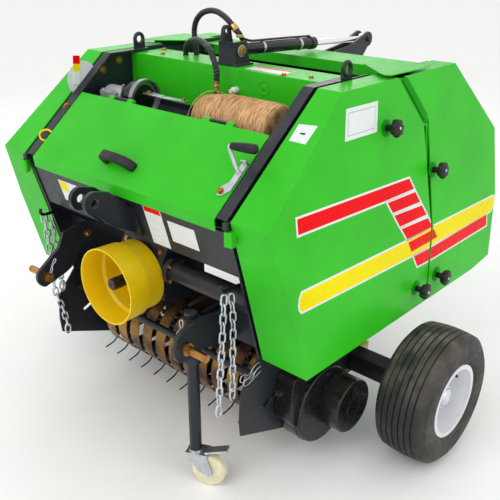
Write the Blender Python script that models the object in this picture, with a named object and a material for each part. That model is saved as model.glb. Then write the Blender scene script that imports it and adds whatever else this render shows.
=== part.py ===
"""Mini round baler for a three-point linkage, standing on two wheels and a castored jack leg.

Metres, +Z up. +X is the machine's left, -Y its front. Shapes are written from the wheel axle
(y = 0 on the axle line, z = 0 on the ground) and hang on one empty that centres the machine.
"""

from math import cos, pi, radians, sin

import bmesh
import bpy
from mathutils import Matrix, Vector

# ---------------------------------------------------------------- driving dimensions
TOP_Z = 1.100            # top edge of the side covers
FOLD_Z = 0.654           # fold along the middle of the side covers
SKIRT_Z = 0.415          # bottom edge of the side covers
NOSE_Y, NOSE_Z = -0.5756, 0.8385      # front corner of the side profile
BROW_Y = -0.261          # where the sloping front meets the top
FOLD_Y = -0.5232         # front edge at the fold
TOE_Y = -0.4586          # front edge at the skirt
REAR_Y = 0.5498          # back of the tailgate
CROWN_Y = 0.298          # where the top meets the sloping back
REAR_TOP_Z = 0.868       # top of the upright back
REAR_LOW_Z = 0.4287      # bottom of the upright back
HEEL_Y = 0.432           # rear end of the bottom edge
TOP_HALF = 0.504         # half width over the side covers at the top
FOLD_HALF = 0.572        # half width at the fold
SKIRT_HALF = 0.5785      # half width at the skirt
FRAME_HALF = 0.418       # outer face of the frame plates
PLATE = 0.006            # frame plate thickness
SHEET = 0.004            # folded sheet thickness
SEAM_Y = 0.1275          # rear edge of the front half
SEAM_GAP = 0.008         # gap between the front half and the tailgate

TOUCH = 0.0003           # gap between touching pieces
MOVE = 0.006             # gap between a moving piece and its neighbour

HINGE_Y, HINGE_Z = -0.080, 1.065      # tailgate hinge
EAR_T = 0.006            # tailgate hinge ear thickness
EAR_R = 0.020
EAR_REAR_Y = 0.165
HINGE_PIN_R = 0.010
HINGE_CLEAR = 0.0006      # round the facets of the hinge pin

CHAMBER_Y, CHAMBER_Z = 0.120, 0.700   # centre of the bale chamber
RING_R = 0.305           # radius of the circle through the roller axes
ROLLER_R = 0.065
ROLLER_WALL = 0.004
ROLLER_SHAFT_R = 0.014
FRONT_ROLLERS = (110, 150, 190, 262)  # degrees round the chamber from +Y
GATE_ROLLERS = (70, 30, -10, -50)

TYRE_R = 0.203
TYRE_HALF = 0.0825
WHEEL_X = 0.695
WHEEL_SIDES = 28
RIM_R = 0.1005           # bead seat
FLANGE_R = 0.113
RIM_HALF = 0.0756
STUB_R = 0.0125
HUB_R = 0.034
AXLE_HALF_SIDE = 0.030   # half side of the square axle tube

PIN_Y, PIN_Z = -0.625, 0.478          # lower link pin
PIN_R = 0.011
LINK_X = 0.306           # inner face of the lower link plates
LINK_T = 0.012
PIN_OUT = 0.392
TOP_LINK_Y, TOP_LINK_Z = -0.665, 0.811
TOP_LINK_EYE_R = 0.032
TOP_LINK_HALF = 0.024    # half gap between the top link plates
TOP_LINK_T = 0.012
TOP_LINK_HOLE_R = 0.0125

PTO_Z = 0.547
GUARD_R = 0.112
GUARD_FRONT_Y = -0.632
GEARBOX_FRONT_Y = -0.505
GEARBOX_BACK_Y = -0.345
LEDGE_Z = 0.672          # ledge over the gearbox, at the foot of the front panel
SHAFT_R = 0.0175

REEL_Y, REEL_Z = -0.270, 0.200
TINE_TIP_R = 0.163
BAND_R = 0.128           # outer radius of the stripper bands
BAND_W = 0.044
BAND_Z = REEL_Z + 0.020  # the bands sit a little above the reel axis
TINE_PITCH = 0.064
TINE_COUNT = 12
BAR_CIRCLE_R = 0.088

SLEEVE_R, SLEEVE_IN_R = 0.024, 0.0175
SLEEVE_LOW, SLEEVE_HIGH = 0.400, 0.536
LEG_R = 0.0170
LEG_LOW, LEG_HIGH = 0.116, 0.550
CASTER_R = 0.050
CASTER_HALF = 0.015
CASTER_TRAIL = 0.040
CASTER_TURN = radians(25)

BASE_Y, BASE_Z = -0.109, 1.132        # cylinder base pin
EYE_Y, EYE_Z = 0.562, 1.098           # rod eye pin
ARM_EYE_R = 0.026
BARREL_LENGTH = 0.383                 # from the base pin
BARREL_R = 0.018
ROD_R = 0.010
ROD_STROKE = 0.080                    # free depth of the barrel behind the rod
CYL_PIN_R = 0.009
CYL_PIN_CLEAR = 0.0005

LID_HALF = 0.381
LID_HINGE_Y = -0.372
LID_LIP = 0.032
LID_HINGE_X = (-0.200, 0.200)
LID_PIN_DROP = 0.010     # hinge pin under the lid's outside

DOOR_IN = 0.430          # inner edge of the side covers' returns
DOOR_PIN_R = 0.0045
DOOR_PIN_X = 0.4245
BALL_R, BALL_Y, BALL_X = 0.074, -0.280, (0.045, 0.330)
TRAY_Z = 0.900
WELL_REAR_Y = -0.158     # front wall of the top box
BOX_REAR_Y = -0.040
BOX_Z = 1.090
COVER_Y, COVER_Z = -0.250, 0.190
COVER_R, COVER_DRUM_R = 0.118, 0.082

GATE_TOP_Z = 1.085       # top of the cover between the tailgate's side covers
HOSE_R = 0.009
HOSE_STEPS = 3           # curve steps between two points of a hose's route
FEED_X, FEED_Y = -0.212, -0.056       # where each hose leaves the top box
FREE_X, FREE_Y = -0.228, -0.086

# ---------------------------------------------------------------- derived
SLOPE = (TOP_Z - NOSE_Z) / (BROW_Y - NOSE_Y)
PLATE_IN = FRAME_HALF - PLATE
JACK_X, JACK_Y = LINK_X - TOUCH - SLEEVE_R, -0.572     # beside the left lower link plate
MACHINE_Y = -(TOP_LINK_Y - TOP_LINK_EYE_R + EYE_Y + ARM_EYE_R) / 2   # centres the whole length
PLATE_FOOT = ((TOE_Y, SKIRT_Z), (-0.300, SKIRT_Z - 0.045), (-0.085, SKIRT_Z - 0.060))
GATE_Y = SEAM_Y + SEAM_GAP
SIDES = (("left", 1), ("right", -1))


def half_width(z):
    """Half width over the side covers at height z."""
    if z >= FOLD_Z:
        return FOLD_HALF + (TOP_HALF - FOLD_HALF) * (z - FOLD_Z) / (TOP_Z - FOLD_Z)
    return FOLD_HALF + (SKIRT_HALF - FOLD_HALF) * (FOLD_Z - z) / (FOLD_Z - SKIRT_Z)


def slope_z(y):
    """Height of the sloping front at depth y."""
    return TOP_Z - (BROW_Y - y) * SLOPE


def front_y(z):
    """Front edge of the side profile at height z, below the nose."""
    if z >= FOLD_Z:
        return FOLD_Y + (NOSE_Y - FOLD_Y) * (z - FOLD_Z) / (NOSE_Z - FOLD_Z)
    return FOLD_Y + (TOE_Y - FOLD_Y) * (FOLD_Z - z) / (FOLD_Z - SKIRT_Z)


# ---------------------------------------------------------------- materials
COLOURS = {
    "green": ((0.03, 0.42, 0.03), 0.35, 0.0),
    "dark": ((0.018, 0.022, 0.027), 0.45, 0.2),
    "yellow": ((0.85, 0.55, 0.01), 0.40, 0.0),
    "passivated": ((0.45, 0.27, 0.08), 0.35, 0.9),
    "zinc": ((0.60, 0.61, 0.62), 0.30, 0.9),
    "chrome": ((0.80, 0.80, 0.82), 0.08, 1.0),
    "rubber": ((0.03, 0.03, 0.03), 0.85, 0.0),
    "white": ((0.80, 0.80, 0.80), 0.35, 0.0),
    "black": ((0.012, 0.012, 0.013), 0.40, 0.0),
    "steel": ((0.28, 0.28, 0.29), 0.35, 0.9),
    "twine": ((0.50, 0.34, 0.18), 0.95, 0.0),
    "cream": ((0.75, 0.72, 0.50), 0.45, 0.0),
    "brass": ((0.60, 0.45, 0.18), 0.30, 0.9),
}


def material(name):
    found = bpy.data.materials.get(name)
    if found:
        return found
    colour, roughness, metallic = COLOURS[name]
    made = bpy.data.materials.new(name)
    made.use_nodes = True
    shader = made.node_tree.nodes["Principled BSDF"]
    shader.inputs["Base Color"].default_value = (*colour, 1)
    shader.inputs["Roughness"].default_value = roughness
    shader.inputs["Metallic"].default_value = metallic
    made.diffuse_color = (*colour, 1)
    return made


# ---------------------------------------------------------------- shapes, as (points, faces)
def prism(axis, outline, low, high):
    """An outline in the two other axes (in X, Y, Z order), extruded along axis."""
    points = []
    for level in (low, high):
        for a, b in outline:
            point = [a, b]
            point.insert("xyz".index(axis), level)
            points.append(tuple(point))
    count = len(outline)
    faces = [tuple(range(count)), tuple(range(count, 2 * count))]
    for i in range(count):
        j = (i + 1) % count
        faces.append((i, j, j + count, i + count))
    return points, faces


def block(low, high):
    (x0, y0, z0), (x1, y1, z1) = low, high
    return prism("z", [(x0, y0), (x1, y0), (x1, y1), (x0, y1)], z0, z1)


def turned(profile, start, direction, sides, whole=False):
    """A closed (radius, distance) profile turned about the line from start along direction."""
    turn = Vector(direction).normalized().to_track_quat("Z", "Y").to_matrix()
    origin = Vector(start)
    points = []
    rings = []
    for radius, along in profile:
        if radius == 0:
            rings.append([len(points)] * sides)
            points.append(tuple(origin + turn @ Vector((0, 0, along))))
            continue
        ring = []
        for i in range(sides):
            angle = 2 * pi * (i + 0.5) / sides
            ring.append(len(points))
            place = Vector((radius * cos(angle), radius * sin(angle), along))
            points.append(tuple(origin + turn @ place))
        rings.append(ring)
    faces = []
    pairs = list(zip(rings, rings[1:]))
    if not whole:
        pairs.append((rings[-1], rings[0]))
    for first, second in pairs:
        for i in range(sides):
            j = (i + 1) % sides
            face = []
            for corner in (first[i], first[j], second[j], second[i]):
                if corner not in face:
                    face.append(corner)
            if len(face) > 2:
                faces.append(tuple(face))
    return points, faces


def rod(start, end, radius, sides=16):
    """A round bar between two points."""
    along = Vector(end) - Vector(start)
    profile = [(0, 0), (radius, 0), (radius, along.length), (0, along.length)]
    return turned(profile, start, along, sides, whole=True)


def pipe(start, end, outer, inner, sides=20):
    along = Vector(end) - Vector(start)
    profile = [(inner, 0), (outer, 0), (outer, along.length), (inner, along.length)]
    return turned(profile, start, along, sides)


def arc(centre, radius, start, end, steps):
    """Points round an arc, in degrees from the first axis towards the second."""
    return [
        (
            centre[0] + radius * cos(radians(start + (end - start) * i / steps)),
            centre[1] + radius * sin(radians(start + (end - start) * i / steps)),
        )
        for i in range(steps + 1)
    ]


def across(side, low, high):
    """An X range on one side of the machine, lowest first."""
    return tuple(sorted((side * low, side * high)))


def mesh_of(shape):
    points, faces = shape
    mesh = bpy.data.meshes.new("shape")
    mesh.from_pydata(points, [], faces)
    work = bmesh.new()
    work.from_mesh(mesh)
    bmesh.ops.recalc_face_normals(work, faces=work.faces)
    work.to_mesh(mesh)
    work.free()
    return mesh


def settle(thing):
    """Applies the modifiers of an object."""
    graph = bpy.context.evaluated_depsgraph_get()
    old = thing.data
    thing.data = bpy.data.meshes.new_from_object(thing.evaluated_get(graph))
    thing.modifiers.clear()
    bpy.data.meshes.remove(old)


def combine(thing, shapes, operation):
    for shape in shapes:
        tool = bpy.data.objects.new("tool", mesh_of(shape))
        bpy.context.scene.collection.objects.link(tool)
        step = thing.modifiers.new(operation.lower(), "BOOLEAN")
        step.operation = operation
        step.solver = "EXACT"
        step.object = tool
        settle(thing)
        mesh = tool.data
        bpy.data.objects.remove(tool)
        bpy.data.meshes.remove(mesh)


def finish(thing, colour, pivot, smooth):
    """Gives an object its colour, its origin and its parent."""
    mesh = thing.data
    mesh.transform(Matrix.Translation(-Vector(pivot)))
    mesh.materials.clear()
    mesh.materials.append(material(colour))
    if smooth:
        mesh.shade_smooth()
        mesh.set_sharp_from_angle(angle=radians(35))
    thing.location = pivot
    thing.parent = machine
    return thing


def piece(name, colour, shapes, cuts=(), pivot=(0, 0, 0), smooth=False):
    """One named sub-part: its shapes joined, less its cuts."""
    thing = bpy.data.objects.new(name, mesh_of(shapes[0]))
    bpy.context.scene.collection.objects.link(thing)
    combine(thing, shapes[1:], "UNION")
    combine(thing, cuts, "DIFFERENCE")
    return finish(thing, colour, pivot, smooth)


def sheet(name, colour, points, faces, thickness=SHEET, shapes=(), cuts=(), pivot=(0, 0, 0)):
    """A folded sheet whose outside is the given faces."""
    mesh = bpy.data.meshes.new(name)
    mesh.from_pydata(points, [], faces)
    thing = bpy.data.objects.new(name, mesh)
    bpy.context.scene.collection.objects.link(thing)
    step = thing.modifiers.new("thickness", "SOLIDIFY")
    step.thickness = thickness
    step.offset = -1
    step.use_even_offset = True
    settle(thing)
    combine(thing, shapes, "UNION")
    combine(thing, cuts, "DIFFERENCE")
    return finish(thing, colour, pivot, False)


def mirrored(points, faces, side):
    """The same sheet on either side of the machine, still facing out."""
    if side > 0:
        return points, faces
    return [(-x, y, z) for x, y, z in points], [tuple(reversed(face)) for face in faces]


# ---------------------------------------------------------------- frame
def side_plate(name, side):
    """Frame plate with its bent post flange, axle leg, lifting eye and hinge pins."""
    inner, outer = across(side, PLATE_IN, FRAME_HALF)
    leg = 0.085
    outline = [
        (BROW_Y, TOP_Z),
        (NOSE_Y, NOSE_Z),
        (FOLD_Y, FOLD_Z),
        *PLATE_FOOT,
        (-leg + 0.030, TYRE_R - 0.045),
        (leg - 0.030, TYRE_R - 0.045),
        (leg, 0.330),
        (SEAM_Y, 0.345),
        (SEAM_Y, 1.030),
        (HINGE_Y + 0.060, TOP_Z),
    ]
    body = prism("x", outline, inner, outer)
    flange_in, flange_out = across(side, 0.385, FRAME_HALF)
    down = 0.006
    brow = prism(
        "x",
        [(BROW_Y, TOP_Z), (NOSE_Y, NOSE_Z), (NOSE_Y + down, NOSE_Z - down / 2), (BROW_Y, TOP_Z - down)],
        flange_in,
        flange_out,
    )
    ridge = block(
        (flange_in, BROW_Y - 0.001, TOP_Z - down), (flange_out, HINGE_Y - EAR_R - MOVE, TOP_Z)
    )
    eye_y, eye_z = -0.120, 1.127
    eye = prism("x", arc((eye_y, eye_z), 0.022, 0, 360, 16)[:-1], inner, outer)
    eye_foot = block((inner, eye_y - 0.022, TOP_Z - 0.01), (outer, eye_y + 0.022, eye_z))
    pin = rod(
        (side * (FRAME_HALF - 0.001), HINGE_Y, HINGE_Z),
        (side * (PLATE_IN - MOVE - EAR_T), HINGE_Y, HINGE_Z),
        HINGE_PIN_R,
        12,
    )
    low, high = NOSE_Z - 0.062, NOSE_Z - 0.002
    door_y = NOSE_Y - 0.005
    lug = block(
        (min(side * PLATE_IN, side * (DOOR_PIN_X + 0.003)), door_y - 0.003, low + 0.042),
        (max(side * PLATE_IN, side * (DOOR_PIN_X + 0.003)), front_y(low) + 0.006, high),
    )
    door_pin = rod((side * DOOR_PIN_X, door_y, low), (side * DOOR_PIN_X, door_y, high), DOOR_PIN_R, 10)
    hole = rod((inner - 0.01, eye_y, eye_z), (outer + 0.01, eye_y, eye_z), 0.011, 14)
    axle_hole = block(
        (inner - 0.01, -AXLE_HALF_SIDE - TOUCH, TYRE_R - AXLE_HALF_SIDE - TOUCH),
        (outer + 0.01, AXLE_HALF_SIDE + TOUCH, TYRE_R + AXLE_HALF_SIDE + TOUCH),
    )
    piece(
        name,
        "dark",
        [body, brow, ridge, eye_foot, eye, pin, lug, door_pin],
        [hole, axle_hole],
    )


def front_panel():
    """Dark panel under the lid, with a ledge along its bottom."""
    top, low = 0.800, LEDGE_Z
    back = 0.004
    points = []
    half = PLATE_IN - TOUCH
    for x in (-half, half):
        points.append((x, front_y(top) + back, top))
        points.append((x, front_y(low) + back, low))
        points.append((x, GEARBOX_BACK_Y, low))
    faces = [(0, 1, 4, 3), (1, 2, 5, 4)]
    sheet("front_panel", "dark", points, faces, thickness=PLATE)


def axle():
    body = block(
        (-0.560, -AXLE_HALF_SIDE, TYRE_R - AXLE_HALF_SIDE),
        (0.560, AXLE_HALF_SIDE, TYRE_R + AXLE_HALF_SIDE),
    )
    stubs = [
        rod((side * 0.550, 0, TYRE_R), (side * (WHEEL_X + 0.052), 0, TYRE_R), STUB_R)
        for _, side in SIDES
    ]
    piece("axle_beam", "dark", [body, *stubs])


def top_box():
    """Folded box across the top: front wall, top and rear lip; narrower past the hinge ears."""
    half = PLATE_IN - TOUCH
    narrow = PLATE_IN - MOVE - EAR_T - MOVE
    ear_y = HINGE_Y - EAR_R - MOVE
    low = 0.955
    outline = [
        (WELL_REAR_Y, low),
        (WELL_REAR_Y, BOX_Z),
        (BOX_REAR_Y, BOX_Z),
        (BOX_REAR_Y, BOX_Z - 0.030),
        (BOX_REAR_Y - SHEET, BOX_Z - 0.030),
        (BOX_REAR_Y - SHEET, BOX_Z - SHEET),
        (WELL_REAR_Y + SHEET, BOX_Z - SHEET),
        (WELL_REAR_Y + SHEET, low),
    ]
    notches = [
        block(
            (min(side * narrow, side * 0.5), ear_y, low - 0.1),
            (max(side * narrow, side * 0.5), 0.1, BOX_Z + 0.1),
        )
        for _, side in SIDES
    ]
    fit = HOSE_R + TOUCH * 3
    holes = [
        rod((x, y, BOX_Z - 0.02), (x, y, BOX_Z + 0.02), fit, 20)
        for x, y in ((FEED_X, FEED_Y), (FREE_X, FREE_Y))
    ]
    piece("top_box", "green", [prism("x", outline, -half, half)], [*notches, *holes])


def twine_tray():
    """Floor of the twine well, its rear lip and the rail that carries the lid."""
    half = PLATE_IN - TOUCH
    lip_z = 0.955 - TOUCH
    knee_y = -0.215
    outline = [
        (NOSE_Y + 0.022, 0.806),
        (-0.370, TRAY_Z),
        (knee_y, TRAY_Z),
        (knee_y, 0.925),
        (WELL_REAR_Y, 0.938),
        (WELL_REAR_Y, lip_z),
        (WELL_REAR_Y + SHEET, lip_z),
        (WELL_REAR_Y + SHEET, 0.934),
        (knee_y + SHEET, 0.921),
        (knee_y + SHEET, TRAY_Z - SHEET),
        (-0.369, TRAY_Z - SHEET),
        (NOSE_Y + 0.022, 0.802),
    ]
    rail_z = slope_z(LID_HINGE_Y) - 0.030
    rail = block(
        (-half, LID_HINGE_Y - 0.006, rail_z - 0.012), (half, LID_HINGE_Y + 0.004, rail_z + 0.004)
    )
    pin_z = slope_z(LID_HINGE_Y) - LID_PIN_DROP
    posts = [
        block(
            (x - 0.015, LID_HINGE_Y - 0.004, TRAY_Z - 0.002),
            (x + 0.015, LID_HINGE_Y + 0.002, rail_z),
        )
        for x in LID_HINGE_X
    ]
    knuckles = []
    for x in LID_HINGE_X:
        knuckles.append(
            block((x - 0.030, LID_HINGE_Y - 0.003, rail_z), (x + 0.030, LID_HINGE_Y + 0.003, pin_z))
        )
        knuckles.append(
            rod((x - 0.030, LID_HINGE_Y, pin_z), (x + 0.030, LID_HINGE_Y, pin_z), 0.006, 10)
        )
    piece("twine_tray", "dark", [prism("x", outline, -half, half), rail, *posts, *knuckles])


def twine():
    low, high = BALL_X
    edge = 0.018
    profile = [
        (0, 0),
        (BALL_R - edge, 0),
        (BALL_R, edge),
        (BALL_R, high - low - edge),
        (BALL_R - edge, high - low),
        (0, high - low),
    ]
    centre_z = TRAY_Z + BALL_R + TOUCH
    ball = turned(profile, (low, BALL_Y, centre_z), (1, 0, 0), 24, whole=True)
    piece("twine_ball", "twine", [ball], smooth=True)

    motor = block((-0.370, -0.330, TRAY_Z + TOUCH), (-0.290, -0.235, 1.005))
    boss = rod((-0.300, -0.275, 0.985), (-0.262, -0.275, 0.985), 0.030, 16)
    drum = rod((-0.262 - 0.001, -0.275, 0.985), (-0.215, -0.275, 0.985), 0.046, 20)
    ring = rod((-0.222, -0.275, 0.985), (-0.206, -0.275, 0.985), 0.058, 20)
    arm = prism(
        "z",
        [
            (-0.212, -0.262),
            (-0.205, -0.292),
            (-0.100, -0.300),
            (-0.020, -0.292),
            (-0.020, -0.276),
            (-0.100, -0.276),
        ],
        1.002,
        1.010,
    )
    piece("twine_drive", "steel", [motor, boss, drum, ring, arm])


# ---------------------------------------------------------------- hitch and drive
def top_link():
    """Bracket for the tractor's top link: a mounting pad and two eyed plates."""
    high, low = 0.775, 0.690
    gap = 0.004 - TOUCH
    pad_t = 0.008
    pad = prism(
        "x",
        [
            (front_y(high) + gap, high),
            (front_y(low) + gap, low),
            (front_y(low) + gap - pad_t, low),
            (front_y(high) + gap - pad_t, high),
        ],
        -0.060,
        0.060,
    )
    shapes = [pad]
    for x in (-TOP_LINK_HALF - TOP_LINK_T, TOP_LINK_HALF):
        outline = [
            (front_y(high) + gap - 0.004, high),
            (-0.618, 0.830),
            *arc((TOP_LINK_Y, TOP_LINK_Z), TOP_LINK_EYE_R, 90, 270, 8),
            (-0.610, 0.730),
            (front_y(low) + gap - 0.004, low),
        ]
        shapes.append(prism("x", outline, x, x + TOP_LINK_T))
    hole = rod((-0.1, TOP_LINK_Y, TOP_LINK_Z), (0.1, TOP_LINK_Y, TOP_LINK_Z), TOP_LINK_HOLE_R)
    piece("top_link_bracket", "dark", shapes, [hole])


def link_bracket(name, side):
    """Lower link plate, and the web that joins it to the frame plate.

    The left plate reaches straight back; the right one rises behind its pin.
    """
    inner, outer = across(side, LINK_X, LINK_X + LINK_T)
    if side > 0:
        web_low, web_high = 0.430, 0.530
        outline = [
            (-0.440, web_high),
            (-0.570, 0.541),
            (-0.634, 0.533),
            (-0.657, 0.519),
            *arc((PIN_Y, PIN_Z), 0.040, 145, 262, 7),
            (-0.598, 0.443),
            (-0.571, 0.453),
            (-0.500, 0.436),
            (-0.440, web_low),
        ]
    else:
        web_low, web_high = 0.548, 0.612
        outline = [
            (-0.440, web_high),
            (-0.500, web_high),
            (-0.552, 0.600),
            (-0.572, 0.558),
            *arc((PIN_Y, PIN_Z), 0.034, 130, 255, 7),
            (-0.556, 0.468),
            (-0.536, 0.478),
            (-0.517, 0.507),
            (-0.478, web_low),
            (-0.440, web_low),
        ]
    plate = prism("x", outline, inner, outer)
    low, high = across(side, LINK_X + LINK_T / 2, PLATE_IN - TOUCH)
    web = block((low, -0.450, web_low + 0.004), (high, -0.440, web_high - 0.004))
    hole = rod((inner - 0.01, PIN_Y, PIN_Z), (outer + 0.01, PIN_Y, PIN_Z), PIN_R + TOUCH)
    piece(name, "dark", [plate, web], [hole])


def link_pin(name, side):
    """Lower link pin with its collar outside the plate and its nut inside."""
    shaft = rod((side * (LINK_X - 0.020), PIN_Y, PIN_Z), (side * PIN_OUT, PIN_Y, PIN_Z), PIN_R, 18)
    seat = LINK_X + LINK_T + TOUCH
    collar = rod((side * seat, PIN_Y, PIN_Z), (side * (seat + 0.008), PIN_Y, PIN_Z), 0.018, 18)
    nut_end = LINK_X - TOUCH
    nut = rod((side * (nut_end - 0.012), PIN_Y, PIN_Z), (side * nut_end, PIN_Y, PIN_Z), 0.017, 6)
    piece(name, "passivated", [shaft, collar, nut], smooth=True)


def gearbox():
    """Angle gearbox with its input hub and the tube that carries the cross shaft."""
    top = LEDGE_Z - PLATE - TOUCH
    body = prism(
        "x",
        [
            (GEARBOX_FRONT_Y, 0.490),
            (GEARBOX_FRONT_Y, 0.610),
            (GEARBOX_FRONT_Y + 0.030, top),
            (GEARBOX_BACK_Y, top),
            (GEARBOX_BACK_Y, 0.480),
            (GEARBOX_FRONT_Y + 0.040, 0.470),
        ],
        -0.085,
        0.100,
    )
    tube_y, tube_z = -0.475, 0.580
    tube = rod((0.09, tube_y, tube_z), (PLATE_IN - TOUCH, tube_y, tube_z), 0.028, 20)
    flange = rod((0.106, tube_y, tube_z), (0.122, tube_y, tube_z), 0.040, 20)
    socket = rod((0, GEARBOX_FRONT_Y - 0.02, PTO_Z), (0, GEARBOX_FRONT_Y + 0.03, PTO_Z), SHAFT_R + 0.001, 20)
    hub = rod((0, GEARBOX_FRONT_Y - 0.010, PTO_Z), (0, GEARBOX_FRONT_Y + 0.01, PTO_Z), 0.045, 20)
    piece("gearbox", "dark", [body, tube, flange, hub], [socket])

    start = GEARBOX_FRONT_Y + 0.03 - TOUCH
    shaft = rod((0, start, PTO_Z), (0, GUARD_FRONT_Y + 0.020, PTO_Z), SHAFT_R, 20)
    piece("pto_shaft", "black", [shaft], pivot=(0, start, PTO_Z), smooth=True)

    wall = 0.004
    back = GEARBOX_FRONT_Y - TOUCH
    length = back - GUARD_FRONT_Y
    step = 0.050
    profile = [
        (0.0453, 0),
        (GUARD_R - 0.010, 0),
        (GUARD_R - 0.008, step),
        (GUARD_R, step + 0.004),
        (GUARD_R, length),
        (GUARD_R - wall, length),
        (GUARD_R - wall, step + 0.006),
        (GUARD_R - 0.012, step),
        (GUARD_R - 0.014, wall),
        (0.0453, wall),
    ]
    guard = turned(profile, (0, back, PTO_Z), (0, -1, 0), 32)
    piece("pto_guard", "yellow", [guard], smooth=True)


# ---------------------------------------------------------------- pickup
def pickup_plate(name, side):
    """Side of the pickup: a plate under the frame plate, with an adjusting slot."""
    inner, outer = across(side, PLATE_IN, FRAME_HALF)
    outline = [
        (-0.528, 0.335),
        (-0.534, 0.250),
        (-0.530, 0.200),
        (-0.250, 0.085),
        (-0.100, 0.085),
        *[(y, z - TOUCH) for y, z in reversed(PLATE_FOOT)],
    ]
    plate = prism("x", outline, inner, outer)
    slot = prism(
        "x",
        [(-0.440, 0.254), (-0.434, 0.242), (-0.376, 0.266), (-0.382, 0.278)],
        inner - 0.01,
        outer + 0.01,
    )
    bore = rod((inner - 0.01, REEL_Y, REEL_Z), (outer + 0.01, REEL_Y, REEL_Z), 0.0165 + TOUCH * 2)
    piece(name, "dark", [plate], [slot, bore])


def band_outline():
    """One stripper band: two straight legs joined round the front of the reel."""
    thick = 0.003
    rear = -0.088
    outer = arc((REEL_Y, BAND_Z), BAND_R, 90, 270, 12)
    inner = arc((REEL_Y, BAND_Z), BAND_R - thick, 270, 90, 12)
    return [
        (rear, BAND_Z + BAND_R),
        *outer,
        (rear, BAND_Z - BAND_R),
        (rear, BAND_Z - BAND_R + thick),
        *inner,
        (rear, BAND_Z + BAND_R - thick),
    ]


def tine_x(index):
    return (index - (TINE_COUNT - 1) / 2) * TINE_PITCH


def strippers():
    """Stripper bands between the tines, on two cross bars, with the guard bar in front."""
    half = PLATE_IN - TOUCH
    outline = band_outline()
    shapes = []
    rear = -0.088
    for z in (BAND_Z + BAND_R - 0.020, BAND_Z - BAND_R):
        shapes.append(block((-half, rear - 0.004, z), (half, rear + 0.004, z + 0.020)))
    for i in range(TINE_COUNT - 1):
        x = (tine_x(i) + tine_x(i + 1)) / 2
        shapes.append(prism("x", outline, x - BAND_W / 2, x + BAND_W / 2))
    piece("stripper_bands", "passivated", shapes)
    bar = rod((-half, -0.450, 0.343), (half, -0.450, 0.343), 0.011, 12)
    piece("guard_bar", "dark", [bar], smooth=True)


def reel():
    """Tine reel: a shaft, end plates, four bars and their tines."""
    shapes = [rod((-PLATE_IN - 0.004, REEL_Y, REEL_Z), (PLATE_IN + 0.004, REEL_Y, REEL_Z), 0.0165, 12)]
    for x in (-0.385, -0.002, 0.379):
        shapes.append(rod((x, REEL_Y, REEL_Z), (x + 0.006, REEL_Y, REEL_Z), BAR_CIRCLE_R + 0.014, 16))
    wire = 0.0025
    for quarter in range(4):
        angle = radians(38 + 90 * quarter)
        bar_y = REEL_Y + BAR_CIRCLE_R * cos(angle)
        bar_z = REEL_Z + BAR_CIRCLE_R * sin(angle)
        shapes.append(rod((-0.385, bar_y, bar_z), (0.385, bar_y, bar_z), 0.009, 8))
        bend = angle + 0.10
        tip = angle - 0.06
        for i in range(TINE_COUNT):
            outline = [
                (bar_y, bar_z),
                (REEL_Y + TINE_TIP_R * cos(tip), REEL_Z + TINE_TIP_R * sin(tip)),
                (REEL_Y + TINE_TIP_R * cos(tip + 0.035), REEL_Z + TINE_TIP_R * sin(tip + 0.035)),
                (REEL_Y + 0.120 * cos(bend), REEL_Z + 0.120 * sin(bend)),
            ]
            shapes.append(prism("x", outline, tine_x(i) - wire, tine_x(i) + wire))
    piece("tine_reel", "dark", shapes, pivot=(0, REEL_Y, REEL_Z))


def drive_cover():
    """Stepped round cover of the pickup drive, on the machine's left."""
    seat = FRAME_HALF + TOUCH
    disc = rod((seat, COVER_Y, COVER_Z), (0.490, COVER_Y, COVER_Z), COVER_R, 32)
    drum = rod((0.489, -0.200, 0.187), (0.556, -0.200, 0.187), COVER_DRUM_R, 28)
    box = prism(
        "x",
        [(-0.330, 0.120), (-0.400, 0.200), (-0.380, 0.330), (-0.150, 0.350), (-0.130, 0.250)],
        seat,
        0.478,
    )
    relief = rod((seat - 0.01, REEL_Y, REEL_Z), (seat + 0.010, REEL_Y, REEL_Z), 0.022, 16)
    piece("drive_cover", "black", [disc, box, drum], [relief], smooth=True)


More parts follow.
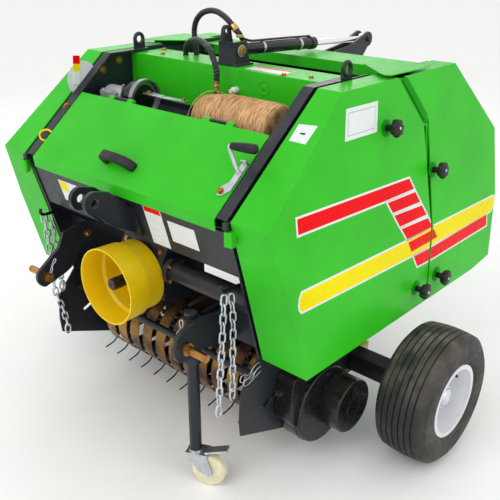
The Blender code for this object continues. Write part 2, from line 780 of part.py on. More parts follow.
# ---------------------------------------------------------------- jack
def jack():
    sleeve = pipe((JACK_X, JACK_Y, SLEEVE_LOW), (JACK_X, JACK_Y, SLEEVE_HIGH), SLEEVE_R, SLEEVE_IN_R)
    gusset = block((JACK_X + 0.018, JACK_Y - 0.006, 0.475), (LINK_X - TOUCH, JACK_Y + 0.006, 0.530))
    bore = rod((JACK_X, JACK_Y, 0.3), (JACK_X, JACK_Y, 0.7), SLEEVE_IN_R, 20)
    piece("jack_sleeve", "dark", [sleeve, gusset], [bore])

    leg = rod((JACK_X, JACK_Y, LEG_LOW), (JACK_X, JACK_Y, LEG_HIGH), LEG_R, 20)
    piece("jack_leg", "dark", [leg], pivot=(JACK_X, JACK_Y, LEG_LOW))

    ahead = Vector((cos(CASTER_TURN), sin(CASTER_TURN), 0))
    aside = Vector((sin(CASTER_TURN), -cos(CASTER_TURN), 0))
    base = Vector((JACK_X, JACK_Y, 0))
    hub = base + ahead * CASTER_TRAIL + Vector((0, 0, CASTER_R))
    bridge_low = CASTER_R * 2 + 0.004
    bridge_high = bridge_low + 0.006

    def placed(corners, low, high, upright):
        """A prism drawn along the trail: corners are (along, up) or, when flat, (along, out)."""
        points = []
        for level in (low, high):
            for along, other in corners:
                spot = base + ahead * along + aside * (level if upright else other)
                points.append((spot.x, spot.y, other if upright else level))
        return points, prism("z", corners, low, high)[1]

    crown = rod(
        (JACK_X, JACK_Y, bridge_low + 0.001), (JACK_X, JACK_Y, LEG_LOW - TOUCH), 0.020, 18
    )
    shapes = [
        placed(
            [(-0.024, -0.024), (0.040, -0.024), (0.040, 0.024), (-0.024, 0.024)],
            bridge_low,
            bridge_high,
            False,
        ),
        crown,
    ]
    side_outline = [
        (-0.018, bridge_low + 0.003),
        (-0.014, 0.082),
        (CASTER_TRAIL - 0.016, 0.042),
        (CASTER_TRAIL, 0.036),
        (CASTER_TRAIL + 0.016, 0.046),
        (0.036, bridge_low + 0.003),
    ]
    for low in (CASTER_HALF + 0.003, -CASTER_HALF - 0.006):
        shapes.append(placed(side_outline, low, low + 0.003, True))
    axle_out = CASTER_HALF + 0.009
    shapes.append(rod(tuple(hub - aside * axle_out), tuple(hub + aside * axle_out), 0.005, 10))
    pedal = [
        (0.030, bridge_low + 0.002),
        (0.062, bridge_low + 0.012),
        (0.098, bridge_low + 0.024),
        (0.096, bridge_low + 0.030),
        (0.060, bridge_low + 0.018),
        (0.030, bridge_low + 0.008),
    ]
    shapes.append(placed(pedal, -0.014, 0.014, True))
    piece("caster_fork", "zinc", shapes, pivot=(JACK_X, JACK_Y, LEG_LOW))

    tread = CASTER_R / cos(pi / 28)
    profile = [
        (0.0053, -CASTER_HALF),
        (tread - 0.004, -CASTER_HALF),
        (tread, -CASTER_HALF + 0.005),
        (tread, CASTER_HALF - 0.005),
        (tread - 0.004, CASTER_HALF),
        (0.0053, CASTER_HALF),
    ]
    wheel = turned(profile, tuple(hub), tuple(aside), 28)
    piece("caster_wheel", "cream", [wheel], pivot=tuple(hub), smooth=True)


# ---------------------------------------------------------------- wheels
def wheel(name, side):
    centre = (side * WHEEL_X, 0, TYRE_R)
    out = (side, 0, 0)
    hub_low, hub_high = -0.060, 0.046
    rim = [
        (STUB_R + TOUCH, hub_low),
        (HUB_R, hub_low),
        (HUB_R, 0.004),
        (0.070, 0.000),
        (RIM_R - 0.014, -0.008),
        (RIM_R - 0.014, -0.040),
        (RIM_R - 0.004, -0.062),
        (RIM_R - 0.002, -RIM_HALF),
        (FLANGE_R, -RIM_HALF),
        (FLANGE_R, -RIM_HALF + 0.006),
        (RIM_R, -RIM_HALF + 0.009),
        (RIM_R, RIM_HALF - 0.009),
        (FLANGE_R, RIM_HALF - 0.006),
        (FLANGE_R, RIM_HALF),
        (RIM_R - 0.002, RIM_HALF),
        (RIM_R - 0.004, 0.062),
        (RIM_R - 0.014, 0.040),
        (RIM_R - 0.014, 0.000),
        (0.070, 0.008),
        (HUB_R, 0.014),
        (HUB_R, hub_high),
        (STUB_R + TOUCH, hub_high),
    ]
    piece(f"wheel_rim_{name}", "white", [turned(rim, centre, out, WHEEL_SIDES)], pivot=centre, smooth=True)
    bead = RIM_HALF - 0.009 - TOUCH * 2
    wall = TYRE_HALF
    tread = TYRE_R / cos(pi / WHEEL_SIDES)
    half = [
        (RIM_R + TOUCH, bead),
        (FLANGE_R - 0.002, RIM_HALF - 0.0070),
        (FLANGE_R + TOUCH * 2, RIM_HALF - 0.0064),
        (FLANGE_R + 0.004, RIM_HALF),
        (0.135, wall - 0.002),
        (0.158, wall),
        (0.180, wall - 0.006),
        (0.194, wall - 0.018),
        (tread - 0.0015, wall - 0.045),
    ]
    profile = [*half, (tread, 0.012), (tread, -0.012), *[(r, -a) for r, a in reversed(half)]]
    piece(f"tyre_{name}", "rubber", [turned(profile, centre, out, WHEEL_SIDES)], pivot=centre, smooth=True)


# ---------------------------------------------------------------- side covers
def front_door(name, side):
    """Front side cover, hinged upright at the nose."""
    cut_y, cut_z = -0.010, 0.953
    low_z = SKIRT_Z
    points = [
        (TOP_HALF, BROW_Y, TOP_Z),
        (half_width(NOSE_Z), NOSE_Y, NOSE_Z),
        (FOLD_HALF, FOLD_Y, FOLD_Z),
        (SKIRT_HALF, TOE_Y, low_z),
        (SKIRT_HALF, SEAM_Y, low_z),
        (FOLD_HALF, SEAM_Y, FOLD_Z),
        (half_width(cut_z), SEAM_Y - 0.018, cut_z),
        (TOP_HALF, cut_y, TOP_Z),
        (DOOR_IN, BROW_Y, TOP_Z),
        (DOOR_IN, NOSE_Y, NOSE_Z),
        (DOOR_IN, FOLD_Y, FOLD_Z),
        (DOOR_IN, TOE_Y, low_z),
        (DOOR_IN, SEAM_Y, low_z),
        (DOOR_IN, cut_y, TOP_Z),
    ]
    faces = [
        (0, 1, 2, 5, 6, 7),
        (2, 3, 4, 5),
        (0, 8, 9, 1),
        (1, 9, 10, 2),
        (2, 10, 11, 3),
        (0, 7, 13, 8),
        (3, 11, 12, 4),
    ]
    pin_y = NOSE_Y - 0.005
    low = NOSE_Z - 0.060
    knuckle = rod(
        (side * DOOR_PIN_X, pin_y, low), (side * DOOR_PIN_X, pin_y, low + 0.038), DOOR_PIN_R + 0.003, 12
    )
    arm = block(
        (min(side * DOOR_PIN_X, side * (DOOR_IN + 0.012)), pin_y - 0.004, low),
        (max(side * DOOR_PIN_X, side * (DOOR_IN + 0.012)), pin_y + 0.014, low + 0.038),
    )
    bore = rod(
        (side * DOOR_PIN_X, pin_y, low - 0.01), (side * DOOR_PIN_X, pin_y, low + 0.05), DOOR_PIN_R + TOUCH, 10
    )
    points, faces = mirrored(points, faces, side)
    sheet(
        f"front_door_{name}", "green", points, faces,
        shapes=[arm, knuckle], cuts=[bore], pivot=(side * DOOR_PIN_X, pin_y, FOLD_Z),
    )


def rear_door(name, side):
    """Rear side cover on the tailgate, hinged upright at the back."""
    start_y, return_y = 0.020, 0.085
    shoulder_z = 0.965
    points = [
        (TOP_HALF, start_y, TOP_Z),
        (TOP_HALF, return_y, TOP_Z),
        (TOP_HALF, CROWN_Y, TOP_Z),
        (half_width(REAR_TOP_Z), REAR_Y, REAR_TOP_Z),
        (FOLD_HALF, REAR_Y, FOLD_Z),
        (half_width(REAR_LOW_Z), REAR_Y, REAR_LOW_Z),
        (SKIRT_HALF, HEEL_Y, SKIRT_Z),
        (SKIRT_HALF, GATE_Y, SKIRT_Z),
        (FOLD_HALF, GATE_Y, FOLD_Z),
        (half_width(shoulder_z), GATE_Y, shoulder_z),
        (DOOR_IN, return_y, TOP_Z),
        (DOOR_IN, CROWN_Y, TOP_Z),
        (DOOR_IN, REAR_Y, REAR_TOP_Z),
        (DOOR_IN, REAR_Y, FOLD_Z),
        (DOOR_IN, REAR_Y, REAR_LOW_Z),
        (DOOR_IN, HEEL_Y, SKIRT_Z),
        (DOOR_IN, GATE_Y, SKIRT_Z),
    ]
    faces = [
        (0, 9, 8, 4, 3, 2, 1),
        (8, 7, 6, 5, 4),
        (1, 2, 11, 10),
        (2, 3, 12, 11),
        (3, 4, 13, 12),
        (4, 5, 14, 13),
        (5, 6, 15, 14),
        (6, 7, 16, 15),
    ]
    pin_y = REAR_Y + 0.005
    shapes, cuts = [], []
    for low in (0.500, 0.760):
        shapes.append(
            block(
                (min(side * DOOR_PIN_X, side * (DOOR_IN + 0.012)), pin_y - 0.014, low),
                (max(side * DOOR_PIN_X, side * (DOOR_IN + 0.012)), pin_y + 0.004, low + 0.040),
            )
        )
        shapes.append(
            rod(
                (side * DOOR_PIN_X, pin_y, low),
                (side * DOOR_PIN_X, pin_y, low + 0.040),
                DOOR_PIN_R + 0.003,
                12,
            )
        )
        cuts.append(
            rod(
                (side * DOOR_PIN_X, pin_y, low - 0.01),
                (side * DOOR_PIN_X, pin_y, low + 0.05),
                DOOR_PIN_R + TOUCH,
                10,
            )
        )
    points, faces = mirrored(points, faces, side)
    sheet(
        f"rear_door_{name}", "green", points, faces,
        shapes=shapes, cuts=cuts, pivot=(side * DOOR_PIN_X, pin_y, FOLD_Z),
    )


# ---------------------------------------------------------------- tailgate
def gate_plate(name, side):
    """Tailgate side plate with its hinge ear inside the frame plate and the door pins."""
    inner, outer = across(side, PLATE_IN, FRAME_HALF)
    outline = [
        (GATE_Y, 0.345),
        (GATE_Y, TOP_Z - SHEET),
        (CROWN_Y, TOP_Z - SHEET),
        (REAR_Y - SHEET, REAR_TOP_Z - 0.003),
        (REAR_Y - SHEET, REAR_LOW_Z),
        (0.360, 0.345),
    ]
    plate = prism("x", outline, inner, outer)
    ear_in, ear_out = across(side, PLATE_IN - MOVE - EAR_T, PLATE_IN - MOVE)
    ear = prism(
        "x",
        [
            *arc((HINGE_Y, HINGE_Z), EAR_R, 90, 270, 8),
            (0.100, HINGE_Z - EAR_R + 0.014),
            (EAR_REAR_Y, HINGE_Z - EAR_R + 0.014),
            (EAR_REAR_Y, TOP_Z - 0.010),
            (0.060, TOP_Z - 0.010),
        ],
        ear_in,
        ear_out,
    )
    step_in, step_out = across(side, PLATE_IN - MOVE - EAR_T, FRAME_HALF - 0.001)
    spacer = block((step_in, GATE_Y + 0.004, HINGE_Z - 0.006), (step_out, EAR_REAR_Y, TOP_Z - 0.010))
    bore = rod(
        (side * 0.3, HINGE_Y, HINGE_Z),
        (side * (PLATE_IN - 0.001), HINGE_Y, HINGE_Z),
        HINGE_PIN_R + HINGE_CLEAR,
        12,
    )
    pin_y = REAR_Y + 0.005
    shapes = [plate, ear, spacer]
    for low in (0.500, 0.760):
        shapes.append(
            block(
                (min(side * PLATE_IN, side * (DOOR_PIN_X + 0.003)), REAR_Y - 0.020, low - 0.018),
                (max(side * PLATE_IN, side * (DOOR_PIN_X + 0.003)), pin_y + 0.003, low - 0.002),
            )
        )
        shapes.append(
            rod(
                (side * DOOR_PIN_X, pin_y, low - 0.004),
                (side * DOOR_PIN_X, pin_y, low + 0.038),
                DOOR_PIN_R,
                10,
            )
        )
    piece(f"tailgate_plate_{name}", "dark", shapes, [bore], pivot=(0, HINGE_Y, HINGE_Z))


def gate_cover():
    """Green cover across the tailgate: front rail, top, sloping back and a short upright."""
    half = PLATE_IN - TOUCH
    rail_y = EAR_REAR_Y + 0.005
    fall = (TOP_Z - REAR_TOP_Z) / (REAR_Y - CROWN_Y)
    brow = CROWN_Y + (TOP_Z - GATE_TOP_Z) / fall
    outline = [
        (rail_y, GATE_TOP_Z - 0.034),
        (rail_y, GATE_TOP_Z),
        (brow, GATE_TOP_Z),
        (REAR_Y, REAR_TOP_Z),
        (REAR_Y, 0.740),
        (REAR_Y - SHEET, 0.740),
        (REAR_Y - SHEET, REAR_TOP_Z - 0.002),
        (brow - 0.002, GATE_TOP_Z - SHEET),
        (rail_y + SHEET, GATE_TOP_Z - SHEET),
        (rail_y + SHEET, GATE_TOP_Z - 0.034),
    ]
    piece("tailgate_cover", "green", [prism("x", outline, -half, half)], pivot=(0, HINGE_Y, HINGE_Z))
    bar = block((-half, 0.430, 0.432), (half, 0.480, 0.472))
    piece("tailgate_bar", "dark", [bar], pivot=(0, HINGE_Y, HINGE_Z))


def gate_flap(name, side):
    """Rounded plate over the top of the seam, carried by the tailgate plate."""
    low, high = TOP_Z + 0.008, TOP_Z + 0.011
    outline = [
        (0.345, 0.130),
        (0.345, 0.060),
        (0.470, -0.044),
        (0.486, -0.050),
        (0.500, -0.044),
        (0.506, 0.100),
        (0.500, 0.130),
    ]
    plate = prism("z", [(side * x, y) for x, y in outline], low, high)
    foot_in, foot_out = across(side, PLATE_IN, FRAME_HALF)
    foot = block(
        (foot_in, GATE_Y - 0.006 + SHEET, TOP_Z - SHEET + TOUCH),
        (foot_out, GATE_Y + 0.030, low + 0.001),
    )
    ledge = prism(
        "z",
        [(side * 0.345, 0.125), (side * 0.500, 0.125), (side * 0.500, 0.160), (side * 0.345, 0.160)],
        low,
        high,
    )
    piece(f"top_flap_{name}", "green", [plate, ledge, foot], pivot=(0, HINGE_Y, HINGE_Z))


def gate_arm():
    """Clevis on the tailgate cover. The rod eye rides free between its plates, which carry the pin's ends."""
    seat = TOUCH * 2

    def cover_z(y):
        return TOP_Z - (y - CROWN_Y) * (TOP_Z - REAR_TOP_Z) / (REAR_Y - CROWN_Y) + seat

    shapes = []
    for side in (-1, 1):
        low, high = across(side, 0.016, 0.026)
        outline = [
            (0.340, cover_z(0.340)),
            (0.470, cover_z(0.470)),
            (0.530, 1.040),
            *arc((EYE_Y, EYE_Z), ARM_EYE_R, -90, 120, 7),
            (0.460, 1.088),
            (0.370, 1.076),
        ]
        shapes.append(prism("x", outline, low, high))
        shapes.append(rod((side * 0.020, EYE_Y, EYE_Z), (side * 0.034, EYE_Y, EYE_Z), CYL_PIN_R, 14))
    foot = prism(
        "x",
        [
            (0.330, cover_z(0.330)),
            (0.480, cover_z(0.480)),
            (0.480, cover_z(0.480) + 0.0075),
            (0.330, cover_z(0.330) + 0.0075),
        ],
        -0.050,
        0.050,
    )
    piece("tailgate_arm", "dark", [foot, *shapes], pivot=(0, HINGE_Y, HINGE_Z))


# ---------------------------------------------------------------- rollers
def roller(name, degrees):
    angle = radians(degrees)
    y = CHAMBER_Y + RING_R * cos(angle)
    z = CHAMBER_Z + RING_R * sin(angle)
    half = PLATE_IN - TOUCH
    drum_half = PLATE_IN - MOVE - EAR_T - MOVE
    web = 0.010
    inside = ROLLER_R - ROLLER_WALL
    profile = [
        (0, -half),
        (ROLLER_SHAFT_R, -half),
        (ROLLER_SHAFT_R, -web),
        (inside, -web),
        (inside, -drum_half),
        (ROLLER_R, -drum_half),
        (ROLLER_R, drum_half),
        (inside, drum_half),
        (inside, web),
        (ROLLER_SHAFT_R, web),
        (ROLLER_SHAFT_R, half),
        (0, half),
    ]
    piece(name, "steel", [turned(profile, (0, y, z), (1, 0, 0), 14, whole=True)], pivot=(0, y, z))


# ---------------------------------------------------------------- cylinder
PORT_FOOT = (0, BASE_Y + 0.062, BASE_Z)
PORT_KNEE = (0, BASE_Y + 0.030, 1.172)
PORT_TIP = (-0.014, BASE_Y + 0.027, 1.186)


def cylinder():
    start = Vector((0, BASE_Y, BASE_Z))
    end = Vector((0, EYE_Y, EYE_Z))
    along = (end - start).normalized()
    top = BOX_Z + TOUCH
    front, back = BASE_Y - 0.030, BASE_Y + 0.038
    crest = BASE_Z + 0.026
    low_ear = [(front, top), (back, top), (back - 0.018, crest), (front, crest)]
    eye_y, eye_z = BASE_Y + 0.002, 1.183
    tall_ear = [(front, top), (back, top), (back - 0.014, crest), *arc((eye_y, eye_z), 0.017, 0, 180, 8)]
    ears = [prism("x", tall_ear, -0.034, -0.024), prism("x", low_ear, 0.024, 0.034)]
    bend = block((-0.030, front, top), (0.030, front + 0.005, crest))
    foot = block((-0.045, front - 0.002, top), (0.045, back + 0.002, top + 0.005))
    pin = rod((-0.038, BASE_Y, BASE_Z), (0.038, BASE_Y, BASE_Z), CYL_PIN_R, 14)
    hole = rod((-0.05, eye_y, eye_z), (0, eye_y, eye_z), 0.008, 12)
    piece("cylinder_bracket", "dark", [foot, *ears, bend, pin], [hole])

    lug = rod((-0.016, BASE_Y, BASE_Z), (0.016, BASE_Y, BASE_Z), 0.017, 16)
    tube = rod(tuple(start + along * 0.012), tuple(start + along * BARREL_LENGTH), BARREL_R, 20)
    gland = rod(
        tuple(start + along * (BARREL_LENGTH - 0.022)),
        tuple(start + along * (BARREL_LENGTH + 0.001)),
        BARREL_R + 0.0025,
        20,
    )
    port = rod(PORT_FOOT, PORT_KNEE, 0.008, 12)
    elbow = rod(PORT_KNEE, PORT_TIP, 0.0088, 12)
    pin_bore = rod((-0.05, BASE_Y, BASE_Z), (0.05, BASE_Y, BASE_Z), CYL_PIN_R + CYL_PIN_CLEAR, 14)
    deep = (end - start).length
    rod_start = 0.17
    bore = rod(
        tuple(start + along * (rod_start - ROD_STROKE)), tuple(start + along * deep), ROD_R + TOUCH, 16
    )
    piece(
        "cylinder_barrel", "black", [tube, lug, gland, port, elbow], [pin_bore, bore],
        pivot=(0, BASE_Y, BASE_Z), smooth=True,
    )

    stick = rod(tuple(start + along * rod_start), tuple(end - along * 0.010), ROD_R, 16)
    eye = rod((-0.0145, EYE_Y, EYE_Z), (0.0145, EYE_Y, EYE_Z), 0.017, 16)
    eye_bore = rod((-0.05, EYE_Y, EYE_Z), (0.05, EYE_Y, EYE_Z), CYL_PIN_R + CYL_PIN_CLEAR, 14)
    piece("cylinder_rod", "chrome", [stick, eye], [eye_bore], pivot=tuple(end), smooth=True)


# ---------------------------------------------------------------- lid
def lid():
    """Sloping hatch lid with a turned-down front lip, hinged along its upper edge."""
    pin_z = slope_z(LID_HINGE_Y) - LID_PIN_DROP
    pivot = (0, LID_HINGE_Y, pin_z)
    front = NOSE_Y - 0.004
    back_y = LID_HINGE_Y - 0.012
    ear_y = back_y - 0.008
    points = []
    for x in (-LID_HALF, LID_HALF):
        points.append((x, back_y, slope_z(back_y)))
        points.append((x, front, slope_z(front)))
        points.append((x, front + 0.004, slope_z(front) - LID_LIP))
    faces = [(0, 1, 4, 3), (1, 2, 5, 4)]
    shapes = []
    for x in LID_HINGE_X:
        for low in (x - 0.054, x + 0.0305):
            shapes.append(
                rod((low, LID_HINGE_Y, pin_z), (low + 0.0235, LID_HINGE_Y, pin_z), 0.007, 10)
            )
            shapes.append(
                prism(
                    "x",
                    [
                        (LID_HINGE_Y, pin_z - 0.005),
                        (LID_HINGE_Y, pin_z + 0.006),
                        (ear_y, slope_z(ear_y) - 0.001),
                        (ear_y, slope_z(ear_y) - 0.010),
                    ],
                    low,
                    low + 0.0235,
                )
            )
    sheet("hatch_lid", "green", points, faces, thickness=0.003, shapes=shapes, pivot=pivot)
    normal = Vector((0, -SLOPE, 1)).normalized()

    def on_lid(x, y, up):
        spot = Vector((x, y, slope_z(y))) + normal * up
        return tuple(spot)

    feet = [rod(on_lid(x, -0.532, TOUCH), on_lid(x, -0.532, 0.026), 0.011, 12) for x in (-0.095, 0.030)]
    grip = rod(on_lid(-0.108, -0.532, 0.028), on_lid(0.043, -0.532, 0.028), 0.011, 12)
    piece("hatch_handle", "black", [grip, *feet], pivot=pivot)

    plate = prism(
        "x",
        [
            on_lid(0, -0.540, TOUCH)[1:],
            on_lid(0, -0.452, TOUCH)[1:],
            on_lid(0, -0.452, 0.006)[1:],
            on_lid(0, -0.540, 0.006)[1:],
        ],
        0.343,
        0.379,
    )
    stem = rod(on_lid(0.360, -0.470, 0.003), on_lid(0.346, -0.452, 0.062), 0.006, 10)
    arm = rod(on_lid(0.342, -0.452, 0.060), on_lid(0.410, -0.446, 0.057), 0.006, 10)
    grip = rod(on_lid(0.352, -0.451, 0.060), on_lid(0.426, -0.444, 0.056), 0.012, 12)
    piece("lid_latch", "zinc", [plate, stem, arm, grip], pivot=pivot)


def counter():
    """White disc and marker bar outside the right frame plate."""
    seat = -(FRAME_HALF + TOUCH)
    disc = rod((seat, -0.350, 1.028), (seat - 0.003, -0.350, 1.028), 0.055, 32)
    bar = prism(
        "x",
        [(-0.392, 0.978), (-0.368, 0.978), (-0.356, 1.100), (-0.380, 1.103)],
        seat - 0.0055,
        seat - 0.0025,
    )
    piece("bale_counter", "white", [disc, bar])


# ---------------------------------------------------------------- hoses
def smooth_route(points, steps):
    """A Catmull-Rom curve through the route's own points."""
    padded = [points[0], *points, points[-1]]
    route = []
    for a, b, c, d in zip(padded, padded[1:], padded[2:], padded[3:]):
        a, b, c, d = Vector(a), Vector(b), Vector(c), Vector(d)
        for i in range(steps):
            t = i / steps
            route.append(
                0.5
                * (
                    (2 * b)
                    + (c - a) * t
                    + (2 * a - 5 * b + 4 * c - d) * t**2
                    + (3 * b - a - 3 * c + d) * t**3
                )
            )
    route.append(Vector(points[-1]))
    return route


def hose(name, points):
    route = smooth_route(points, HOSE_STEPS)
    curve = bpy.data.curves.new(name, "CURVE")
    curve.dimensions = "3D"
    curve.bevel_depth = HOSE_R
    curve.bevel_resolution = 2
    curve.use_fill_caps = True
    spline = curve.splines.new("POLY")
    spline.points.add(len(route) - 1)
    for point, place in zip(spline.points, route):
        point.co = (*place, 1)
    curve.materials.append(material("rubber"))
    thing = bpy.data.objects.new(name, curve)
    bpy.context.scene.collection.objects.link(thing)
    thing.parent = machine


PORT_OUT = (Vector(PORT_TIP) - Vector(PORT_KNEE)).normalized()
FEED_ROUTE = [
    (FEED_X, FEED_Y, 1.050),
    (FEED_X, FEED_Y, 1.068),
    (FEED_X, FEED_Y, 1.086),
    (FEED_X, FEED_Y, 1.104),
    (-0.216, FEED_Y, 1.135),
    (-0.218, FEED_Y, 1.165),
    (-0.206, -0.058, 1.194),
    (-0.178, -0.062, 1.217),
    (-0.140, -0.067, 1.229),
    (-0.100, -0.074, 1.230),
    (-0.064, -0.080, 1.220),
    tuple(Vector(PORT_TIP) + PORT_OUT * 0.030),
    tuple(Vector(PORT_TIP) + PORT_OUT * 0.014),
    tuple(Vector(PORT_TIP) + PORT_OUT * TOUCH * 2),
]
FREE_ROUTE = [
    (FREE_X, FREE_Y, 1.045),
    (FREE_X, FREE_Y, 1.065),
    (FREE_X, FREE_Y, 1.085),
    (FREE_X, FREE_Y, 1.102),
    (-0.208, -0.098, 1.127),
    (-0.163, -0.120, 1.145),
    (-0.108, -0.148, 1.154),
    (-0.054, -0.174, 1.152),
    (-0.008, -0.196, 1.138),
    (0.020, -0.207, 1.112),
    (0.030, -0.209, 1.086),
    (0.030, -0.209, 1.072),
    (0.030, -0.209, 1.0585),
]


def hoses():
    hose("hose_feed", FEED_ROUTE)
    hose("hose_free", FREE_ROUTE)
    x, y, z = FREE_ROUTE[-1]
    ring_z = 1.0225
    sleeve = rod((x, y, z - TOUCH), (x, y, ring_z + 0.008), 0.0095, 12)
    ring = rod((x, y - 0.006, ring_z), (x, y + 0.006, ring_z), 0.0125, 16)
    eye = rod((x, y - 0.01, ring_z), (x, y + 0.01, ring_z), 0.006, 12)
    piece("hose_banjo", "brass", [sleeve, ring], [eye], pivot=(x, y, z))


# ---------------------------------------------------------------- build
for old in list(bpy.data.objects):
    bpy.data.objects.remove(old, do_unlink=True)

machine = bpy.data.objects.new("machine", None)
bpy.context.scene.collection.objects.link(machine)
machine.location = (0, MACHINE_Y, 0)

for side_name, sign in SIDES:
    side_plate(f"side_plate_{side_name}", sign)
    link_bracket(f"link_bracket_{side_name}", sign)
    link_pin(f"link_pin_{side_name}", sign)
    pickup_plate(f"pickup_plate_{side_name}", sign)
    wheel(side_name, sign)
    front_door(side_name, sign)
    rear_door(side_name, sign)
    gate_plate(side_name, sign)
    gate_flap(side_name, sign)
front_panel()
axle()
top_box()
twine_tray()
twine()
top_link()
gearbox()
strippers()
reel()
drive_cover()
jack()
gate_cover()
gate_arm()
for number, place in enumerate(FRONT_ROLLERS, 1):
    roller(f"front_roller_{number}", place)
for number, place in enumerate(GATE_ROLLERS, 1):
    roller(f"tailgate_roller_{number}", place)
cylinder()
lid()
counter()
hoses()
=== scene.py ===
"""Looks of a mini round baler: paint, decals, tyres, twine, hoses, chains and fasteners.

Metres, +Z up. +X is the machine's left, -Y its front. Shapes are written from the wheel axle, as
the CAD model is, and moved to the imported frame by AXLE_Y.
"""

from math import cos, hypot, pi, radians, sin

import bmesh
import bpy
from mathutils import Matrix, Vector


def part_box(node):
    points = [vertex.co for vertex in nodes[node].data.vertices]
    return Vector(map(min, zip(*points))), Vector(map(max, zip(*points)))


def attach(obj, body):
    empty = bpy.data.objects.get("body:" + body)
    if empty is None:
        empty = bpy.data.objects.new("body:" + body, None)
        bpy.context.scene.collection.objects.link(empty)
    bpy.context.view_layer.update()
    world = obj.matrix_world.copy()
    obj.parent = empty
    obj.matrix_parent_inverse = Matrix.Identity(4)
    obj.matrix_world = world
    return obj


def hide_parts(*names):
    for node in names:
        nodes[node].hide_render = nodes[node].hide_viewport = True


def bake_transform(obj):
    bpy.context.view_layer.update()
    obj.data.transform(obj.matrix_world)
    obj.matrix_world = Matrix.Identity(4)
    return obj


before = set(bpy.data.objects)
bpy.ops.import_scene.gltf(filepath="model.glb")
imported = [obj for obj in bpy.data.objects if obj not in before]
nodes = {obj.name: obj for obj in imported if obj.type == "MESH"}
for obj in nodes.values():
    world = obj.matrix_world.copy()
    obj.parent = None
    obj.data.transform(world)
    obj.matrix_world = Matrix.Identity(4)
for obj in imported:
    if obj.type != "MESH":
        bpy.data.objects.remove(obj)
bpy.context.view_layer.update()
axle_low, axle_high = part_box("axle_beam")
AXLE_Y = (axle_low[1] + axle_high[1]) / 2
SIDES = (("left", 1), ("right", -1))

# ---------------------------------------------------------------- camera
CAMERA_AT = Vector((1.5044, -1.6340, 1.4551))
CAMERA_AIM = Vector((0.0892, -0.0785, 0.5236))
camera = bpy.data.objects.new("camera", bpy.data.cameras.new("camera"))
bpy.context.scene.collection.objects.link(camera)
camera.data.sensor_width = 36
camera.data.lens = 52.14
camera.location = CAMERA_AT
camera.rotation_euler = (CAMERA_AIM - CAMERA_AT).to_track_quat("-Z", "Y").to_euler()
bpy.context.scene.camera = camera

# ---------------------------------------------------------------- driving dimensions, from the CAD
TOP_Z, FOLD_Z, SKIRT_Z = 1.100, 0.654, 0.415
NOSE_Y, NOSE_Z = -0.5756, 0.8385
BROW_Y = -0.261
FOLD_Y = -0.5232
TOP_HALF, FOLD_HALF, SKIRT_HALF = 0.504, 0.572, 0.5785
FRAME_HALF = 0.418
SEAM_Y, SEAM_GAP = 0.1275, 0.008
SLOPE = (TOP_Z - NOSE_Z) / (BROW_Y - NOSE_Y)
TYRE_R, TYRE_HALF, WHEEL_X = 0.203, 0.0825, 0.695
RIM_R, FLANGE_R, RIM_HALF = 0.1005, 0.113, 0.0756
STUB_R, HUB_R = 0.0125, 0.034
PTO_Z, GEARBOX_FRONT_Y, GUARD_FRONT_Y, GUARD_R = 0.547, -0.505, -0.632, 0.112
REEL_Y, REEL_Z, BAR_CIRCLE_R, TINE_TIP_R = -0.270, 0.200, 0.088, 0.163
TINE_PITCH, TINE_COUNT = 0.064, 12
TRAY_Z, BALL_R, BALL_Y, BALL_X = 0.900, 0.074, -0.280, (0.045, 0.330)
BOX_Z = 1.090
BASE_Y, BASE_Z, EYE_Y, EYE_Z = -0.109, 1.132, 0.562, 1.098
BARREL_R, BARREL_LENGTH = 0.018, 0.383
HOSE_R = 0.009
PIN_Y, PIN_Z, LINK_X = -0.625, 0.478, 0.306
SKIN = 0.0003            # how far a decal stands proud


def half_width(z):
    """Half width over the side covers at height z."""
    if z >= FOLD_Z:
        return FOLD_HALF + (TOP_HALF - FOLD_HALF) * (z - FOLD_Z) / (TOP_Z - FOLD_Z)
    return FOLD_HALF + (SKIRT_HALF - FOLD_HALF) * (FOLD_Z - z) / (FOLD_Z - SKIRT_Z)


def slope_z(y):
    """Height of the sloping front at depth y."""
    return TOP_Z - (BROW_Y - y) * SLOPE


SLOPE_OUT = Vector((0, -SLOPE, 1)).normalized()


def on_slope(x, y, up):
    """A point above the sloping front."""
    return tuple(Vector((x, y, slope_z(y))) + SLOPE_OUT * up)


